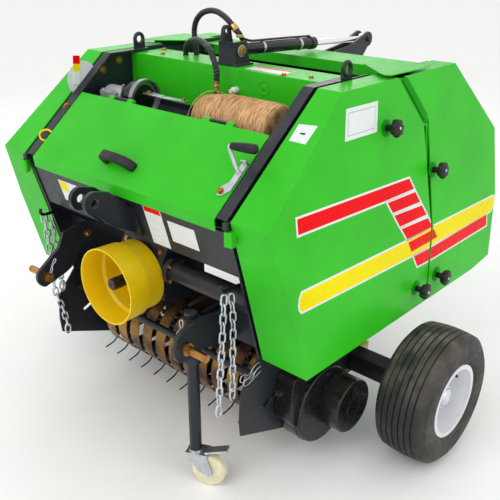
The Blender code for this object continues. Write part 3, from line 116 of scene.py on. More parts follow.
# ---------------------------------------------------------------- materials
def look(name, colour, roughness, metallic=0.0, coat=0.0, vary=0.10, tint=None, bare=None,
         dust=0.12, grain=700.0, bump=0.05, spread=0.08, stretch=(1, 1, 1),
         gleam=0.35, tint_scale=38.0):
    """A material whose colour drifts, gathers dust on top and wears to bare on its edges."""
    made = bpy.data.materials.new(name)
    made.use_nodes = True
    tree = made.node_tree
    shader = tree.nodes["Principled BSDF"]

    def node(kind, inputs, **settings):
        new = tree.nodes.new("ShaderNode" + kind)
        for key, value in settings.items():
            setattr(new, key, value)
        for socket, value in inputs.items():
            if isinstance(value, bpy.types.NodeSocket):
                tree.links.new(value, new.inputs[socket])
            else:
                new.inputs[socket].default_value = value
        return new

    place = node("TexCoord", {}).outputs["Object"]
    surface = node("NewGeometry", {}).outputs["Normal"]
    drawn = node("Mapping", {"Vector": place, "Scale": stretch}).outputs[0]

    def cloud(scale, detail=4.0, vector=place):
        made_noise = node("TexNoise", {"Vector": vector, "Scale": scale, "Detail": detail})
        return made_noise.outputs["Fac"]

    def ranged(value, low, high, first=0.0, last=1.0):
        inputs = {"Value": value, "From Min": low, "From Max": high, "To Min": first, "To Max": last}
        return node("MapRange", inputs).outputs["Result"]

    def times(first, second):
        return node("Math", {0: first, 1: second}, operation="MULTIPLY").outputs[0]

    def blend(factor, first, second):
        return node("Mix", {0: factor, 6: first, 7: second}, data_type="RGBA").outputs[2]

    def shade(factor):
        return (*(min(1.0, part * factor) for part in colour), 1)

    paint = blend(ranged(cloud(6.0), 0.35, 0.65), shade(1 - vary), shade(1 + vary))
    if tint:
        paint = blend(ranged(cloud(tint_scale, 4.0, drawn), 0.42, 0.62), paint, (*tint, 1))
    up = node("SeparateXYZ", {0: surface}).outputs["Z"]
    dirt = times(times(ranged(up, 0.2, 1.0), ranged(cloud(17.0, 8.0), 0.42, 0.72)), dust)
    paint = blend(dirt, paint, (0.30, 0.27, 0.21, 1))
    soft = node("Bevel", {"Radius": 0.0022}, samples=4).outputs["Normal"]
    turn = node("VectorMath", {0: soft, 1: surface}, operation="DOT_PRODUCT").outputs["Value"]
    edge = times(ranged(turn, 0.985, 0.90), ranged(cloud(70.0, 6.0), 0.50, 0.66))
    if bare:
        paint = blend(edge, paint, (*bare, 1))
    tree.links.new(paint, shader.inputs["Base Color"])
    fine = ranged(cloud(45.0, 6.0), 0.3, 0.7, max(0.04, roughness - spread), min(1.0, roughness + spread))
    rough = node("Mix", {0: dirt, 2: fine, 3: 0.85}, data_type="FLOAT").outputs[0]
    tree.links.new(rough, shader.inputs["Roughness"])
    shader.inputs["Metallic"].default_value = metallic
    shader.inputs["Specular IOR Level"].default_value = gleam
    shader.inputs["Coat Weight"].default_value = coat
    shader.inputs["Coat Roughness"].default_value = 0.06
    inputs = {"Height": cloud(grain, 3.0, drawn), "Strength": bump, "Distance": 0.001}
    tree.links.new(node("Bump", inputs).outputs["Normal"], shader.inputs["Normal"])
    return made


STEEL = (0.35, 0.35, 0.36)
LOOKS = {
    "green": dict(colour=(0.028, 0.46, 0.012), roughness=0.34, coat=0.05, vary=0.07, dust=0.03,
                  bare=(0.14, 0.62, 0.10), grain=900.0, bump=0.008, gleam=0.15),
    # Darker green, for the knob seats and for the seam strip, which is painted shade.
    "deep_green": dict(colour=(0.001, 0.26, 0.001), roughness=0.45, vary=0.10, gleam=0.08),
    "dark": dict(colour=(0.012, 0.015, 0.021), roughness=0.40, coat=0.08, vary=0.22,
                 bare=(0.13, 0.15, 0.18), dust=0.10, grain=900.0, bump=0.02),
    "black": dict(colour=(0.006, 0.006, 0.007), roughness=0.28, coat=0.15, vary=0.25,
                  bare=(0.09, 0.09, 0.10), dust=0.08, grain=900.0, bump=0.02),
    "white": dict(colour=(0.66, 0.67, 0.70), roughness=0.34, coat=0.1, vary=0.04,
                  bare=(0.45, 0.43, 0.40), dust=0.10, bump=0.02),
    "guard_yellow": dict(colour=(0.80, 0.57, 0.003), roughness=0.40, coat=0.08, vary=0.07,
                         tint=(0.80, 0.51, 0.003), bare=(0.92, 0.74, 0.10), bump=0.03,
                         dust=0.05, gleam=0.3, tint_scale=12.0),
    "black_plastic": dict(colour=(0.008, 0.008, 0.009), roughness=0.48, vary=0.20, grain=1500.0,
                          bump=0.08, dust=0.08, bare=(0.06, 0.06, 0.06)),
    "cream": dict(colour=(0.74, 0.70, 0.50), roughness=0.45, vary=0.06, tint=(0.66, 0.60, 0.40),
                  dust=0.3, bump=0.05),
    "passivated": dict(colour=(0.50, 0.28, 0.08), roughness=0.26, metallic=0.95, vary=0.30,
                       tint=(0.40, 0.17, 0.05), dust=0.08, bump=0.05),
    "band": dict(colour=(0.26, 0.14, 0.04), roughness=0.34, metallic=0.90, vary=0.45,
                 tint=(0.07, 0.03, 0.035), dust=0.10, bump=0.08, tint_scale=16.0),
    "steel": dict(colour=(0.34, 0.34, 0.36), roughness=0.32, metallic=0.95, vary=0.20, dust=0.12,
                  grain=160.0, stretch=(0.04, 1, 1), bump=0.10),
    "zinc": dict(colour=(0.62, 0.64, 0.66), roughness=0.30, metallic=0.9, vary=0.14,
                 tint=(0.50, 0.54, 0.60), dust=0.10, bump=0.06),
    "chrome": dict(colour=(0.82, 0.83, 0.85), roughness=0.10, metallic=1.0, vary=0.04, dust=0.04,
                   bump=0.01, spread=0.04),
    "brass": dict(colour=(0.62, 0.42, 0.13), roughness=0.28, metallic=0.95, vary=0.15,
                  tint=(0.45, 0.28, 0.09), dust=0.08),
    "tyre": dict(colour=(0.020, 0.020, 0.021), roughness=0.62, vary=0.30, dust=0.55, grain=900.0,
                 bump=0.15, spread=0.12, bare=(0.11, 0.10, 0.085), tint=(0.052, 0.046, 0.038),
                 tint_scale=11.0),
    "hose": dict(colour=(0.012, 0.012, 0.014), roughness=0.36, vary=0.25, dust=0.10, grain=1200.0,
                 bump=0.05, bare=(0.16, 0.16, 0.17)),
    "twine": dict(colour=(0.60, 0.37, 0.18), roughness=0.95, vary=0.10, tint=(0.34, 0.18, 0.075),
                  dust=0.03, grain=520.0, bump=1.0, gleam=0.1, tint_scale=230.0, stretch=(1, 0.16, 0.16)),
    "cast": dict(colour=(0.42, 0.43, 0.43), roughness=0.50, metallic=0.35, vary=0.12,
                 tint=(0.34, 0.35, 0.35), dust=0.18, grain=500.0, bump=0.20),
    "decal_red": dict(colour=(0.78, 0.003, 0.006), roughness=0.30, gleam=0.06, vary=0.06, dust=0.02),
    "decal_yellow": dict(colour=(0.80, 0.68, 0.0), roughness=0.30, gleam=0.06, vary=0.05, dust=0.02),
    "decal_white": dict(colour=(0.70, 0.74, 0.72), roughness=0.30, coat=0.05, vary=0.03, dust=0.06),
    "decal_grey": dict(colour=(0.42, 0.46, 0.50), roughness=0.35, coat=0.05, vary=0.06, dust=0.06),
}
SLOTS = {
    "green": "green_paint", "deep_green": "green_paint", "dark": "dark_paint",
    "black": "black_paint", "white": "white_paint", "guard_yellow": "yellow_plastic",
    "black_plastic": "black_plastic", "cream": "cream_plastic",
    "passivated": "passivated_steel", "band": "passivated_steel", "steel": "bare_steel", "zinc": "zinc", "chrome": "chrome",
    "brass": "brass", "tyre": "tyre", "hose": "hose_rubber", "twine": "twine",
    "cast": "bare_steel", "decal_red": "white_paint", "decal_yellow": "white_paint",
    "decal_white": "white_paint", "decal_grey": "white_paint",
}
FINISHES = {name: look(name, **facts) for name, facts in LOOKS.items()}
LOOK_OF_SLOT = {slot: name for name, slot in reversed(list(SLOTS.items()))}


# ---------------------------------------------------------------- shapes, as (points, faces)
def prism(axis, outline, low, high):
    """An outline in the two other axes (in X, Y, Z order), extruded along axis."""
    points = []
    for level in (low, high):
        for a, b in outline:
            point = [a, b]
            point.insert("xyz".index(axis), level)
            points.append(tuple(point))
    count = len(outline)
    faces = [tuple(range(count)), tuple(range(count, 2 * count))]
    for i in range(count):
        j = (i + 1) % count
        faces.append((i, j, j + count, i + count))
    return points, faces


def block(low, high):
    (x0, y0, z0), (x1, y1, z1) = low, high
    return prism("z", [(x0, y0), (x1, y0), (x1, y1), (x0, y1)], z0, z1)


def turned(profile, start, direction, sides, lobes=0, depth=0.0):
    """A (radius, distance) profile turned about a line, closed on itself unless it ends on it."""
    turn = Vector(direction).normalized().to_track_quat("Z", "Y").to_matrix()
    origin = Vector(start)
    points, rings = [], []
    for radius, along in profile:
        if radius == 0:
            rings.append([len(points)] * sides)
            points.append(tuple(origin + turn @ Vector((0, 0, along))))
            continue
        ring = []
        for i in range(sides):
            angle = 2 * pi * (i + 0.5) / sides
            reach = radius * (1 + depth * cos(lobes * angle))
            ring.append(len(points))
            spot = Vector((reach * cos(angle), reach * sin(angle), along))
            points.append(tuple(origin + turn @ spot))
        rings.append(ring)
    pairs = list(zip(rings, rings[1:]))
    if profile[0][0] != 0:
        pairs.append((rings[-1], rings[0]))
    faces = []
    for first, second in pairs:
        for i in range(sides):
            j = (i + 1) % sides
            face = []
            for corner in (first[i], first[j], second[j], second[i]):
                if corner not in face:
                    face.append(corner)
            if len(face) > 2:
                faces.append(tuple(face))
    return points, faces


def rod(start, end, radius, sides=32, round_end=0.0):
    """A round bar between two points, with its far end rounded if asked."""
    along = Vector(end) - Vector(start)
    reach = along.length
    profile = [(0, 0), (radius, 0), (radius, reach - round_end)]
    for step in range(1, 5):
        angle = radians(22.5 * step)
        if round_end:
            profile.append((max(0.0, radius - round_end * (1 - cos(angle))),
                            reach - round_end * (1 - sin(angle))))
    profile.append((0, reach))
    return turned(profile, start, along, sides)


def sweep(path, radius, sides=10, closed=False):
    """A round bar along a path. radius is a number, or a function of distance and angle."""
    path = [Vector(point) for point in path]
    count = len(path)
    tangents = []
    for i in range(count):
        if closed:
            tangents.append((path[(i + 1) % count] - path[i - 1]).normalized())
        else:
            tangents.append((path[min(i + 1, count - 1)] - path[max(i - 1, 0)]).normalized())
    aside = tangents[0].orthogonal().normalized()
    points, distance = [], 0.0
    for i, (spot, tangent) in enumerate(zip(path, tangents)):
        aside = (aside - tangent * aside.dot(tangent)).normalized()
        other = tangent.cross(aside)
        distance += (spot - path[i - 1]).length if i else 0.0
        for k in range(sides):
            angle = 2 * pi * k / sides
            reach = radius(distance, angle) if callable(radius) else radius
            points.append(tuple(spot + (aside * cos(angle) + other * sin(angle)) * reach))
    faces = []
    for i in range(count if closed else count - 1):
        j = (i + 1) % count
        for k in range(sides):
            m = (k + 1) % sides
            faces.append((i * sides + k, i * sides + m, j * sides + m, j * sides + k))
    if not closed:
        faces.append(tuple(range(sides)))
        faces.append(tuple(range((count - 1) * sides, count * sides)))
    return points, faces


def curve(points, steps):
    """A smooth line through the points, with this many steps between two of them."""
    spots = [Vector(point) for point in points]
    line = []
    for i in range(len(spots) - 1):
        before, first = spots[max(i - 1, 0)], spots[i]
        second, after = spots[i + 1], spots[min(i + 2, len(spots) - 1)]
        for step in range(steps):
            t = step / steps
            line.append(0.5 * (2 * first + (second - before) * t
                               + (2 * before - 5 * first + 4 * second - after) * t ** 2
                               + (3 * first - before - 3 * second + after) * t ** 3))
    return line + [spots[-1]]


def hexagon(centre, axis, radius, height):
    """A bolt head or nut with its corners chamfered."""
    cut = height * 0.18
    return turned([(0, 0), (radius, 0), (radius, height - cut), (radius - cut, height), (0, height)],
                  centre, axis, 6)


def bolt(centre, axis, radius=0.0075, height=0.006, washer=0.011):
    """A hexagon head on its washer."""
    disc = turned([(0, 0), (washer, 0), (washer, 0.0014), (0, 0.0014)], centre, axis, 28)
    seat = Vector(centre) + Vector(axis).normalized() * 0.0012
    return [disc, hexagon(seat, axis, radius, height)]


def link(centre, along, aside, length, width, wire):
    """One chain link: an oval ring of round wire."""
    along, aside = Vector(along).normalized(), Vector(aside).normalized()
    path = []
    for i in range(20):
        angle = 2 * pi * i / 20
        stretch = (length - width) / 2 * (1 if cos(angle) > 0 else -1)
        path.append(Vector(centre) + along * (stretch + cos(angle) * width / 2)
                    + aside * sin(angle) * width / 2)
    return sweep(path, wire, 8, closed=True)


def chain(points, pitch=0.0165, width=0.010, wire=0.0019):
    """Links strung along a hanging line."""
    line = curve(points, 24)
    shapes, walked, turn = [], pitch / 2, 0
    travelled = 0.0
    for first, second in zip(line, line[1:]):
        travelled += (second - first).length
        if travelled >= walked:
            along = (second - first).normalized()
            side = along.cross(Vector((0.3, 1, 0.2))).normalized()
            aside = side if turn % 2 else along.cross(side)
            shapes.append(link(second, along, aside, pitch + 2 * wire, width, wire))
            walked += pitch
            turn += 1
    return shapes


def r_clip(seat, along, up, size=1.0, wire=0.0014):
    """A spring pin shaped like an R, its straight leg starting at seat."""
    flat = ((-0.010, 0), (0.010, 0), (0.030, 0), (0.038, 0.004), (0.040, 0.010), (0.035, 0.016),
            (0.028, 0.014), (0.021, 0.007), (0.014, 0.005), (0.006, 0.010), (-0.004, 0.012),
            (-0.012, 0.010))
    along, up = Vector(along).normalized(), Vector(up).normalized()
    spots = [Vector(seat) + along * a * size + up * b * size for a, b in flat]
    return sweep(curve(spots, 4), wire, 8)


def plate_faces(count):
    """Faces of a plate whose first outline of count points lies under its second."""
    sides = [(i, (i + 1) % count, (i + 1) % count + count, i + count) for i in range(count)]
    return [tuple(range(count)), tuple(range(count, 2 * count)), *sides]


# ---------------------------------------------------------------- pieces
def make(name, finish, body, shapes, bevel=0.0008, replaces=(), steps=2, angle=32):
    """One piece: its shapes joined, with rounded edges and its material, riding on a body."""
    mesh = bpy.data.meshes.new(name)
    points, faces = [], []
    for shape_points, shape_faces in shapes:
        base = len(points)
        points += [(x, y + AXLE_Y, z) for x, y, z in shape_points]
        faces += [tuple(base + i for i in face) for face in shape_faces]
    mesh.from_pydata(points, [], faces)
    work = bmesh.new()
    work.from_mesh(mesh)
    bmesh.ops.recalc_face_normals(work, faces=work.faces)
    work.to_mesh(mesh)
    work.free()
    mesh.shade_smooth()
    mesh.materials.append(FINISHES[finish])
    made = bpy.data.objects.new(name, mesh)
    bpy.context.scene.collection.objects.link(made)
    dress(made, bevel, steps, angle)
    if body:
        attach(made, body)
    if replaces:
        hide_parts(*replaces)
    return made


def dress(made, bevel, steps=2, angle=32):
    """Rounds the edges and evens the normals of an object."""
    if bevel:
        rounding = made.modifiers.new("rounding", "BEVEL")
        rounding.width = bevel
        rounding.segments = steps
        rounding.limit_method = "ANGLE"
        rounding.angle_limit = radians(angle)
    even = made.modifiers.new("even", "WEIGHTED_NORMAL")
    even.weight = 100
    even.keep_sharp = False


def welding():
    """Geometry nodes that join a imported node's loose triangles and drop their stored normals."""
    group = bpy.data.node_groups.new("welding", "GeometryNodeTree")
    group.interface.new_socket("Geometry", in_out="INPUT", socket_type="NodeSocketGeometry")
    group.interface.new_socket("Geometry", in_out="OUTPUT", socket_type="NodeSocketGeometry")
    start = group.nodes.new("NodeGroupInput").outputs[0]
    for kind, settings in (("GeometryNodeMergeByDistance", {"Distance": 0.00001}),
                           ("GeometryNodeRemoveAttribute", {"Name": "custom_normal"}),
                           ("GeometryNodeSetShadeSmooth", {"Shade Smooth": True})):
        step = group.nodes.new(kind)
        for socket, value in settings.items():
            step.inputs[socket].default_value = value
        group.links.new(start, step.inputs[0])
        start = step.outputs[0]
    group.links.new(start, group.nodes.new("NodeGroupOutput").inputs[0])
    return group


# ---------------------------------------------------------------- hoses
FREE_ROUTE = (
    (-0.228, -0.086, 1.045), (-0.228, -0.086, 1.065), (-0.228, -0.086, 1.085),
    (-0.228, -0.086, 1.102), (-0.208, -0.098, 1.127), (-0.163, -0.120, 1.145),
    (-0.108, -0.148, 1.154), (-0.054, -0.174, 1.152), (-0.008, -0.196, 1.138),
    (0.020, -0.207, 1.112), (0.030, -0.209, 1.086), (0.030, -0.209, 1.072),
    (0.030, -0.209, 1.0585),
)
PORT_KNEE, PORT_TIP = Vector((0, -0.079, 1.172)), Vector((-0.014, -0.082, 1.186))
PORT_OUT = (PORT_TIP - PORT_KNEE).normalized()
FEED_ROUTE = (
    (-0.212, -0.056, 1.050), (-0.212, -0.056, 1.068), (-0.212, -0.056, 1.086),
    (-0.212, -0.056, 1.104), (-0.216, -0.056, 1.135), (-0.218, -0.056, 1.165),
    (-0.206, -0.058, 1.194), (-0.178, -0.062, 1.217), (-0.140, -0.067, 1.229),
    (-0.100, -0.074, 1.230), (-0.064, -0.080, 1.220),
    PORT_TIP + PORT_OUT * 0.030, PORT_TIP + PORT_OUT * 0.014, PORT_TIP + PORT_OUT * 0.0006,
)
WRAP_PITCH = 0.010


def wrapped(distance, angle):
    """Radius of a hose inside its spiral guard: broad turns with a narrow gap between them."""
    phase = (distance / WRAP_PITCH - angle / (2 * pi)) % 1.0
    return HOSE_R * (1.0 if phase < 0.68 else 0.84)


def hose_mesh(name, route):
    line = curve(route, 12)
    return make(name, "hose", None, [sweep(line, wrapped, 24)], bevel=0), line


free_hose, free_line = hose_mesh("free_hose", FREE_ROUTE)
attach(free_hose, "frame")
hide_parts("hose_free")
fitting = [
    turned([(0, 0), (0.0093, 0), (0.0093, 0.004), (0.0082, 0.005), (0.0082, 0.009), (0.0093, 0.010),
            (0.0093, 0.0145), (0.0070, 0.0160), (0.0070, 0.0280), (0, 0.0280)],
           (0.030, -0.209, 1.0582), (0, 0, -1), 32),
    turned([(0.0062, -0.006), (0.0118, -0.006), (0.0125, -0.005), (0.0125, 0.005),
            (0.0118, 0.006), (0.0062, 0.006)], (0.030, -0.209, 1.0225), (0, 1, 0), 40),
]
hose_fitting = make("hose_fitting", "brass", "frame", fitting, bevel=0.0003, replaces=("hose_banjo",))

feed_hose, feed_line = hose_mesh("feed_hose", FEED_ROUTE)
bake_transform(feed_hose)
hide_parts("hose_feed")

# ---------------------------------------------------------------- side cover decals
FRONT_EDGE, REAR_EDGE = SEAM_Y - 0.0012, SEAM_Y + SEAM_GAP + 0.0012


def clip(outline, axis, limit, above):
    """The part of an outline on one side of a line across one axis."""
    kept = []
    for first, second in zip(outline, outline[1:] + outline[:1]):
        inside = (first[axis] >= limit) == above
        if inside:
            kept.append(first)
        if inside != ((second[axis] >= limit) == above):
            t = (limit - first[axis]) / (second[axis] - first[axis])
            kept.append(tuple(a + (b - a) * t for a, b in zip(first, second)))
    return kept


def grown(outline, margin):
    """An outline moved out by a margin."""
    count = len(outline)
    area = sum(outline[i][0] * outline[(i + 1) % count][1] - outline[(i + 1) % count][0] * outline[i][1]
               for i in range(count))
    way = 1 if area > 0 else -1
    moved = []
    for i in range(count):
        (ax, ay), (bx, by), (cx, cy) = outline[i - 1], outline[i], outline[(i + 1) % count]
        first, second = hypot(bx - ax, by - ay), hypot(cx - bx, cy - by)
        n1 = (way * (by - ay) / first, -way * (bx - ax) / first)
        n2 = (way * (cy - by) / second, -way * (cx - bx) / second)
        scale = margin / max(0.35, 1 + n1[0] * n2[0] + n1[1] * n2[1])
        moved.append((bx + (n1[0] + n2[0]) * scale, by + (n1[1] + n2[1]) * scale))
    return moved


def skin(side, outline, lift):
    """A thin closed plate on a side cover, lift proud of it."""
    points = []
    for out in (-SKIN, lift):
        points += [(side * (half_width(z) + out), y, z) for y, z in outline]
    return points, plate_faces(len(outline))


RED_STEPS = (
    ((-0.471, 0.846), (-0.472, 0.809), (-0.108, 0.795), (0.040, 0.792), (0.018, 0.826)),
    ((-0.095, 0.786), (0.047, 0.781), (0.070, 0.747), (-0.073, 0.753)),
    ((-0.066, 0.743), (0.079, 0.734), (0.102, 0.701), (-0.041, 0.705)),
    ((-0.033, 0.696), (0.110, 0.688), (0.134, 0.656), (-0.007, 0.659)),
)
RED_BRIDGE = ((-0.001, 0.647), (0.144, 0.645), (0.168, 0.612), (0.020, 0.612))
RED_TAIL = ((0.036, 0.592), (0.061, 0.553), (0.144, 0.549), (0.508, 0.550), (0.499, 0.589),
            (0.139, 0.588))
YELLOW_BAND = ((-0.478, 0.668), (-0.487, 0.657), (-0.490, 0.643), (-0.488, 0.630), (-0.480, 0.620),
               (0.023, 0.599), (0.501, 0.591), (0.531, 0.596), (0.546, 0.609), (0.546, 0.630),
               (0.536, 0.645), (0.142, 0.654), (-0.011, 0.653))
OUTLINE = 0.0058


def decals():
    layers = [("decal_white", [grown(list(step), OUTLINE) for step in RED_STEPS]
               + [grown(list(YELLOW_BAND), OUTLINE), grown(list(RED_TAIL), OUTLINE)], 0.00025),
              ("decal_yellow", [list(YELLOW_BAND)], 0.00040),
              ("decal_red", [list(step) for step in (*RED_STEPS, RED_BRIDGE, RED_TAIL)], 0.00055)]
    for name, side in SIDES:
        for half, body, limit, above in (("front", f"front_door_{name}_body", FRONT_EDGE, False),
                                         ("rear", f"rear_door_{name}_body", REAR_EDGE, True)):
            for finish, outlines, lift in layers:
                shapes = []
                for outline in outlines:
                    part = clip(outline, 0, limit, above)
                    for over in (True, False):
                        cut = clip(part, 1, FOLD_Z, over) if part else []
                        if len(cut) > 2:
                            shapes.append(skin(side, cut, lift))
                if shapes:
                    make(f"{finish}_{half}_{name}", finish, body, shapes, bevel=0)


decals()


# ---------------------------------------------------------------- knobs and openings of the side covers
def side_out(side, z):
    """Outward direction of a side cover at height z."""
    lean = (FOLD_HALF - TOP_HALF) / (TOP_Z - FOLD_Z) if z >= FOLD_Z else (
        (FOLD_HALF - SKIRT_HALF) / (FOLD_Z - SKIRT_Z))
    return Vector((side, 0, lean)).normalized()


KNOBS = ((-0.084, 0.983, "front"), (0.145, 0.822, "rear"), (0.060, 0.483, "front"),
         (0.181, 0.485, "rear"))
for name, side in SIDES:
    for number, (y, z, half) in enumerate(KNOBS, 1):
        foot = Vector((side * half_width(z), y, z))
        out = side_out(side, z)
        body = f"{half}_door_{name}_body"
        tag = f"{number}_{name}"
        make(f"knob_{tag}", "black_plastic", body, [
            turned([(0, 0.022), (0.013, 0.022), (0.0205, 0.026), (0.0225, 0.031), (0.0225, 0.037),
                    (0.020, 0.0415), (0.010, 0.0435), (0, 0.0435)], foot, out, 112, 7, 0.085),
            turned([(0, 0.003), (0.0085, 0.003), (0.0085, 0.012), (0.011, 0.024), (0, 0.024)],
                   foot, out, 32),
        ], bevel=0)
        make(f"knob_seat_{tag}", "deep_green", body, [
            turned([(0, -0.0005), (0.0225, -0.0005), (0.0225, 0.0010), (0.0200, 0.0022),
                    (0.012, 0.0030), (0, 0.0030)], foot, out, 48)], bevel=0)
        make(f"knob_stud_{tag}", "zinc", body, [
            turned([(0, 0.043), (0.0042, 0.043), (0.0042, 0.0445), (0.0034, 0.0452), (0, 0.0452)],
                   foot, out, 24)], bevel=0)


def gap_flange(name, side):
    """Inner flange of the front cover, seen as a darker strip in the diagonal gap."""
    points = []
    for y, z in ((-0.016, 1.096), (0.104, 0.951), (0.1265, 0.951), (0.1265, 0.43), (0.150, 0.43),
                 (0.150, 0.960), (0.024, 1.096)):
        points.append((y, z))
    inner = []
    for out in (-0.0046, -0.0064):
        inner += [(side * (half_width(z) + out), y, z) for y, z in points]
    faces = plate_faces(len(points))
    make(f"gap_flange_{name}", "green", f"front_door_{name}_body", [(inner, faces)], bevel=0)


# Painted shade: a darker green strip on the rear cover along the slanted seam, for the shade on the inner flange
# seen through the gap.
SEAM_SHADE_OUTLINE = ((0.006, 1.0945), (0.033, 1.0945), (0.1275, 0.984), (0.1275, 0.957), (0.1205, 0.957))
for name, side in SIDES:
    gap_flange(name, side)
    make(f"seam_shade_strip_{name}", "deep_green", f"rear_door_{name}_body",
         [skin(side, list(SEAM_SHADE_OUTLINE), 0.0003)], bevel=0)

LABEL_FRAME = ((-0.252, 1.059), (-0.114, 1.057), (-0.126, 0.981), (-0.266, 0.983))
for name, side in SIDES:
    body = f"front_door_{name}_body"
    make(f"side_label_{name}", "decal_white", body, [skin(side, list(LABEL_FRAME), 0.00025)], bevel=0)
    panel = grown(list(LABEL_FRAME), -0.010)
    make(f"side_label_panel_{name}", "decal_grey", body, [skin(side, panel, 0.00032)], bevel=0)
    inner = grown(list(LABEL_FRAME), -0.0125)
    make(f"side_label_field_{name}", "decal_white", body, [skin(side, inner, 0.0004)], bevel=0)

# ---------------------------------------------------------------- wheels
RIBS = 7
TREAD_HALF = 0.066


def tyre_profile():
    """Half of a ribbed tyre, from its bead out to the middle of the tread, then mirrored."""
    bead = RIM_HALF - 0.0096
    wall = [(RIM_R + 0.0003, bead), (FLANGE_R - 0.002, RIM_HALF - 0.0070),
            (FLANGE_R + 0.0006, RIM_HALF - 0.0060), (FLANGE_R + 0.004, RIM_HALF - 0.0005),
            (0.1225, TYRE_HALF - 0.0052), (0.1240, TYRE_HALF - 0.0030), (0.1290, TYRE_HALF - 0.0020),
            (0.1305, TYRE_HALF - 0.0026), (0.1450, TYRE_HALF - 0.0008), (0.1580, TYRE_HALF),
            (0.1700, TYRE_HALF - 0.0020), (0.1715, TYRE_HALF - 0.0010), (0.1760, TYRE_HALF - 0.0022),
            (0.1775, TYRE_HALF - 0.0045), (0.1850, TYRE_HALF - 0.0085), (0.1920, TYRE_HALF - 0.0135),
            (0.1950, TREAD_HALF)]
    pitch = 2 * TREAD_HALF / RIBS
    tread = []
    for rib in range(RIBS):
        left = TREAD_HALF - rib * pitch
        for share, deep in ((0.10, 0.0), (0.16, 0.0), (0.78, 0.0), (0.84, 0.0), (0.90, 0.0055),
                            (1.02, 0.0055)):
            across = left - share * pitch
            if rib == RIBS - 1 and share > 0.85:
                continue
            crown = TYRE_R - 0.0062 * (across / TREAD_HALF) ** 2
            tread.append((crown - deep, across))
    return wall + tread + [(r, -a) for r, a in reversed(wall)]


def wheels():
    rim = [(STUB_R + 0.0003, -0.060), (HUB_R, -0.060), (HUB_R, 0.004), (0.070, 0.000),
           (RIM_R - 0.014, -0.008), (RIM_R - 0.014, -0.040), (RIM_R - 0.004, -0.062),
           (RIM_R - 0.002, -RIM_HALF), (FLANGE_R, -RIM_HALF), (FLANGE_R, -RIM_HALF + 0.006),
           (RIM_R, -RIM_HALF + 0.009), (RIM_R, RIM_HALF - 0.009), (FLANGE_R, RIM_HALF - 0.006),
           (FLANGE_R, RIM_HALF), (RIM_R - 0.002, RIM_HALF), (RIM_R - 0.004, 0.062),
           (RIM_R - 0.012, 0.040), (RIM_R - 0.014, 0.000), (0.070, 0.008), (HUB_R, 0.014),
           (HUB_R, 0.046), (STUB_R + 0.0003, 0.046)]
    for name, side in SIDES:
        centre = Vector((side * WHEEL_X, 0, TYRE_R))
        out = Vector((side, 0, 0))
        body = f"wheel_{name}"
        make(f"wheel_tyre_{name}", "tyre", body, [turned(tyre_profile(), centre, out, 128)],
             bevel=0.0007, replaces=(f"tyre_{name}",), steps=1, angle=40)
        make(f"wheel_disc_{name}", "white", body, [turned(rim, centre, out, 96)], bevel=0.0016,
             replaces=(f"wheel_rim_{name}",), steps=3, angle=25)
        cap = turned([(0, 0.046), (0.0295, 0.046), (0.0300, 0.048), (0.0270, 0.053), (0.018, 0.0575),
                      (0, 0.059)], centre, out, 48)
        make(f"hub_cap_{name}", "zinc", body, [cap], bevel=0)
        stem = centre + Vector((side * 0.022, 0.060, 0.054))
        valve = turned([(0, 0), (0.0045, 0), (0.0045, 0.010), (0.0030, 0.013), (0.0030, 0.020),
                        (0.0040, 0.0205), (0.0040, 0.029), (0.0032, 0.031), (0, 0.031)],
                       stem, (side, -0.25, -0.25), 20)
        make(f"valve_{name}", "black_plastic", body, [valve], bevel=0)
        weld = [(HUB_R + 0.0045, 0.0125), (HUB_R - 0.001, 0.0125), (HUB_R - 0.001, 0.0185)]
        make(f"hub_weld_{name}", "white", body, [turned(weld, centre, out, 64, 22, 0.012)], bevel=0)


wheels()


# ---------------------------------------------------------------- power take-off
def power_take_off():
    back = GEARBOX_FRONT_Y - 0.0003
    length = back - GUARD_FRONT_Y
    step = 0.050
    profile = [(0.0453, 0), (GUARD_R - 0.010, 0), (GUARD_R - 0.009, step - 0.004),
               (GUARD_R - 0.0105, step - 0.002), (GUARD_R - 0.0105, step + 0.002),
               (GUARD_R - 0.003, step + 0.004), (GUARD_R - 0.001, length - 0.012),
               (GUARD_R, length - 0.004), (GUARD_R, length), (GUARD_R - 0.004, length),
               (GUARD_R - 0.006, step + 0.008), (GUARD_R - 0.013, step), (GUARD_R - 0.014, 0.004),
               (0.0453, 0.004)]
    ribs = []
    for index in range(3):
        angle = 2 * pi * index / 3 + 0.4
        ways = Vector((cos(angle), 0, sin(angle)))
        across = Vector((-sin(angle), 0, cos(angle))) * 0.0012
        middle = Vector((0, back, PTO_Z))
        corners = []
        for reach, deep in ((0.0455, 0.003), (0.0980, 0.003), (0.0985, 0.046), (0.0900, 0.034),
                            (0.0455, 0.014)):
            corners.append(middle + ways * reach + Vector((0, -deep, 0)))
        points = [tuple(corner - across) for corner in corners] + [tuple(corner + across) for corner in corners]
        ribs.append((points, plate_faces(len(corners))))
    make("shaft_guard", "guard_yellow", "frame", [turned(profile, (0, back, PTO_Z), (0, -1, 0), 128), *ribs],
         bevel=0.0012, replaces=("pto_guard",), steps=3)
    start = GEARBOX_FRONT_Y + 0.0297
    reach = start - GUARD_FRONT_Y - 0.020
    shaft = [(0, 0), (0.0175, 0), (0.0175, reach - 0.006), (0.0165, reach - 0.0022), (0.0140, reach),
             (0.0050, reach), (0.0020, reach - 0.003), (0, reach - 0.003)]
    make("drive_shaft", "black", "pto", [turned(shaft, (0, start, PTO_Z), (0, -1, 0), 48)],
         bevel=0.0005, replaces=("pto_shaft",))
    face = GEARBOX_FRONT_Y
    make("gearbox_bolts", "passivated", "frame",
         [shape for x, z in ((-0.066, 0.632), (0.080, 0.632)) for shape in
          bolt((x, face + 0.012, z), (0, -1, 0), 0.0065, 0.005, 0.009)]
         + [shape for k in range(4) for shape in
            bolt((0.122, -0.475 + 0.032 * sin(pi / 4 + k * pi / 2), 0.580 + 0.032 * cos(pi / 4 + k * pi / 2)),
                 (1, 0, 0), 0.0055, 0.005, 0.0075)], bevel=0.0003)


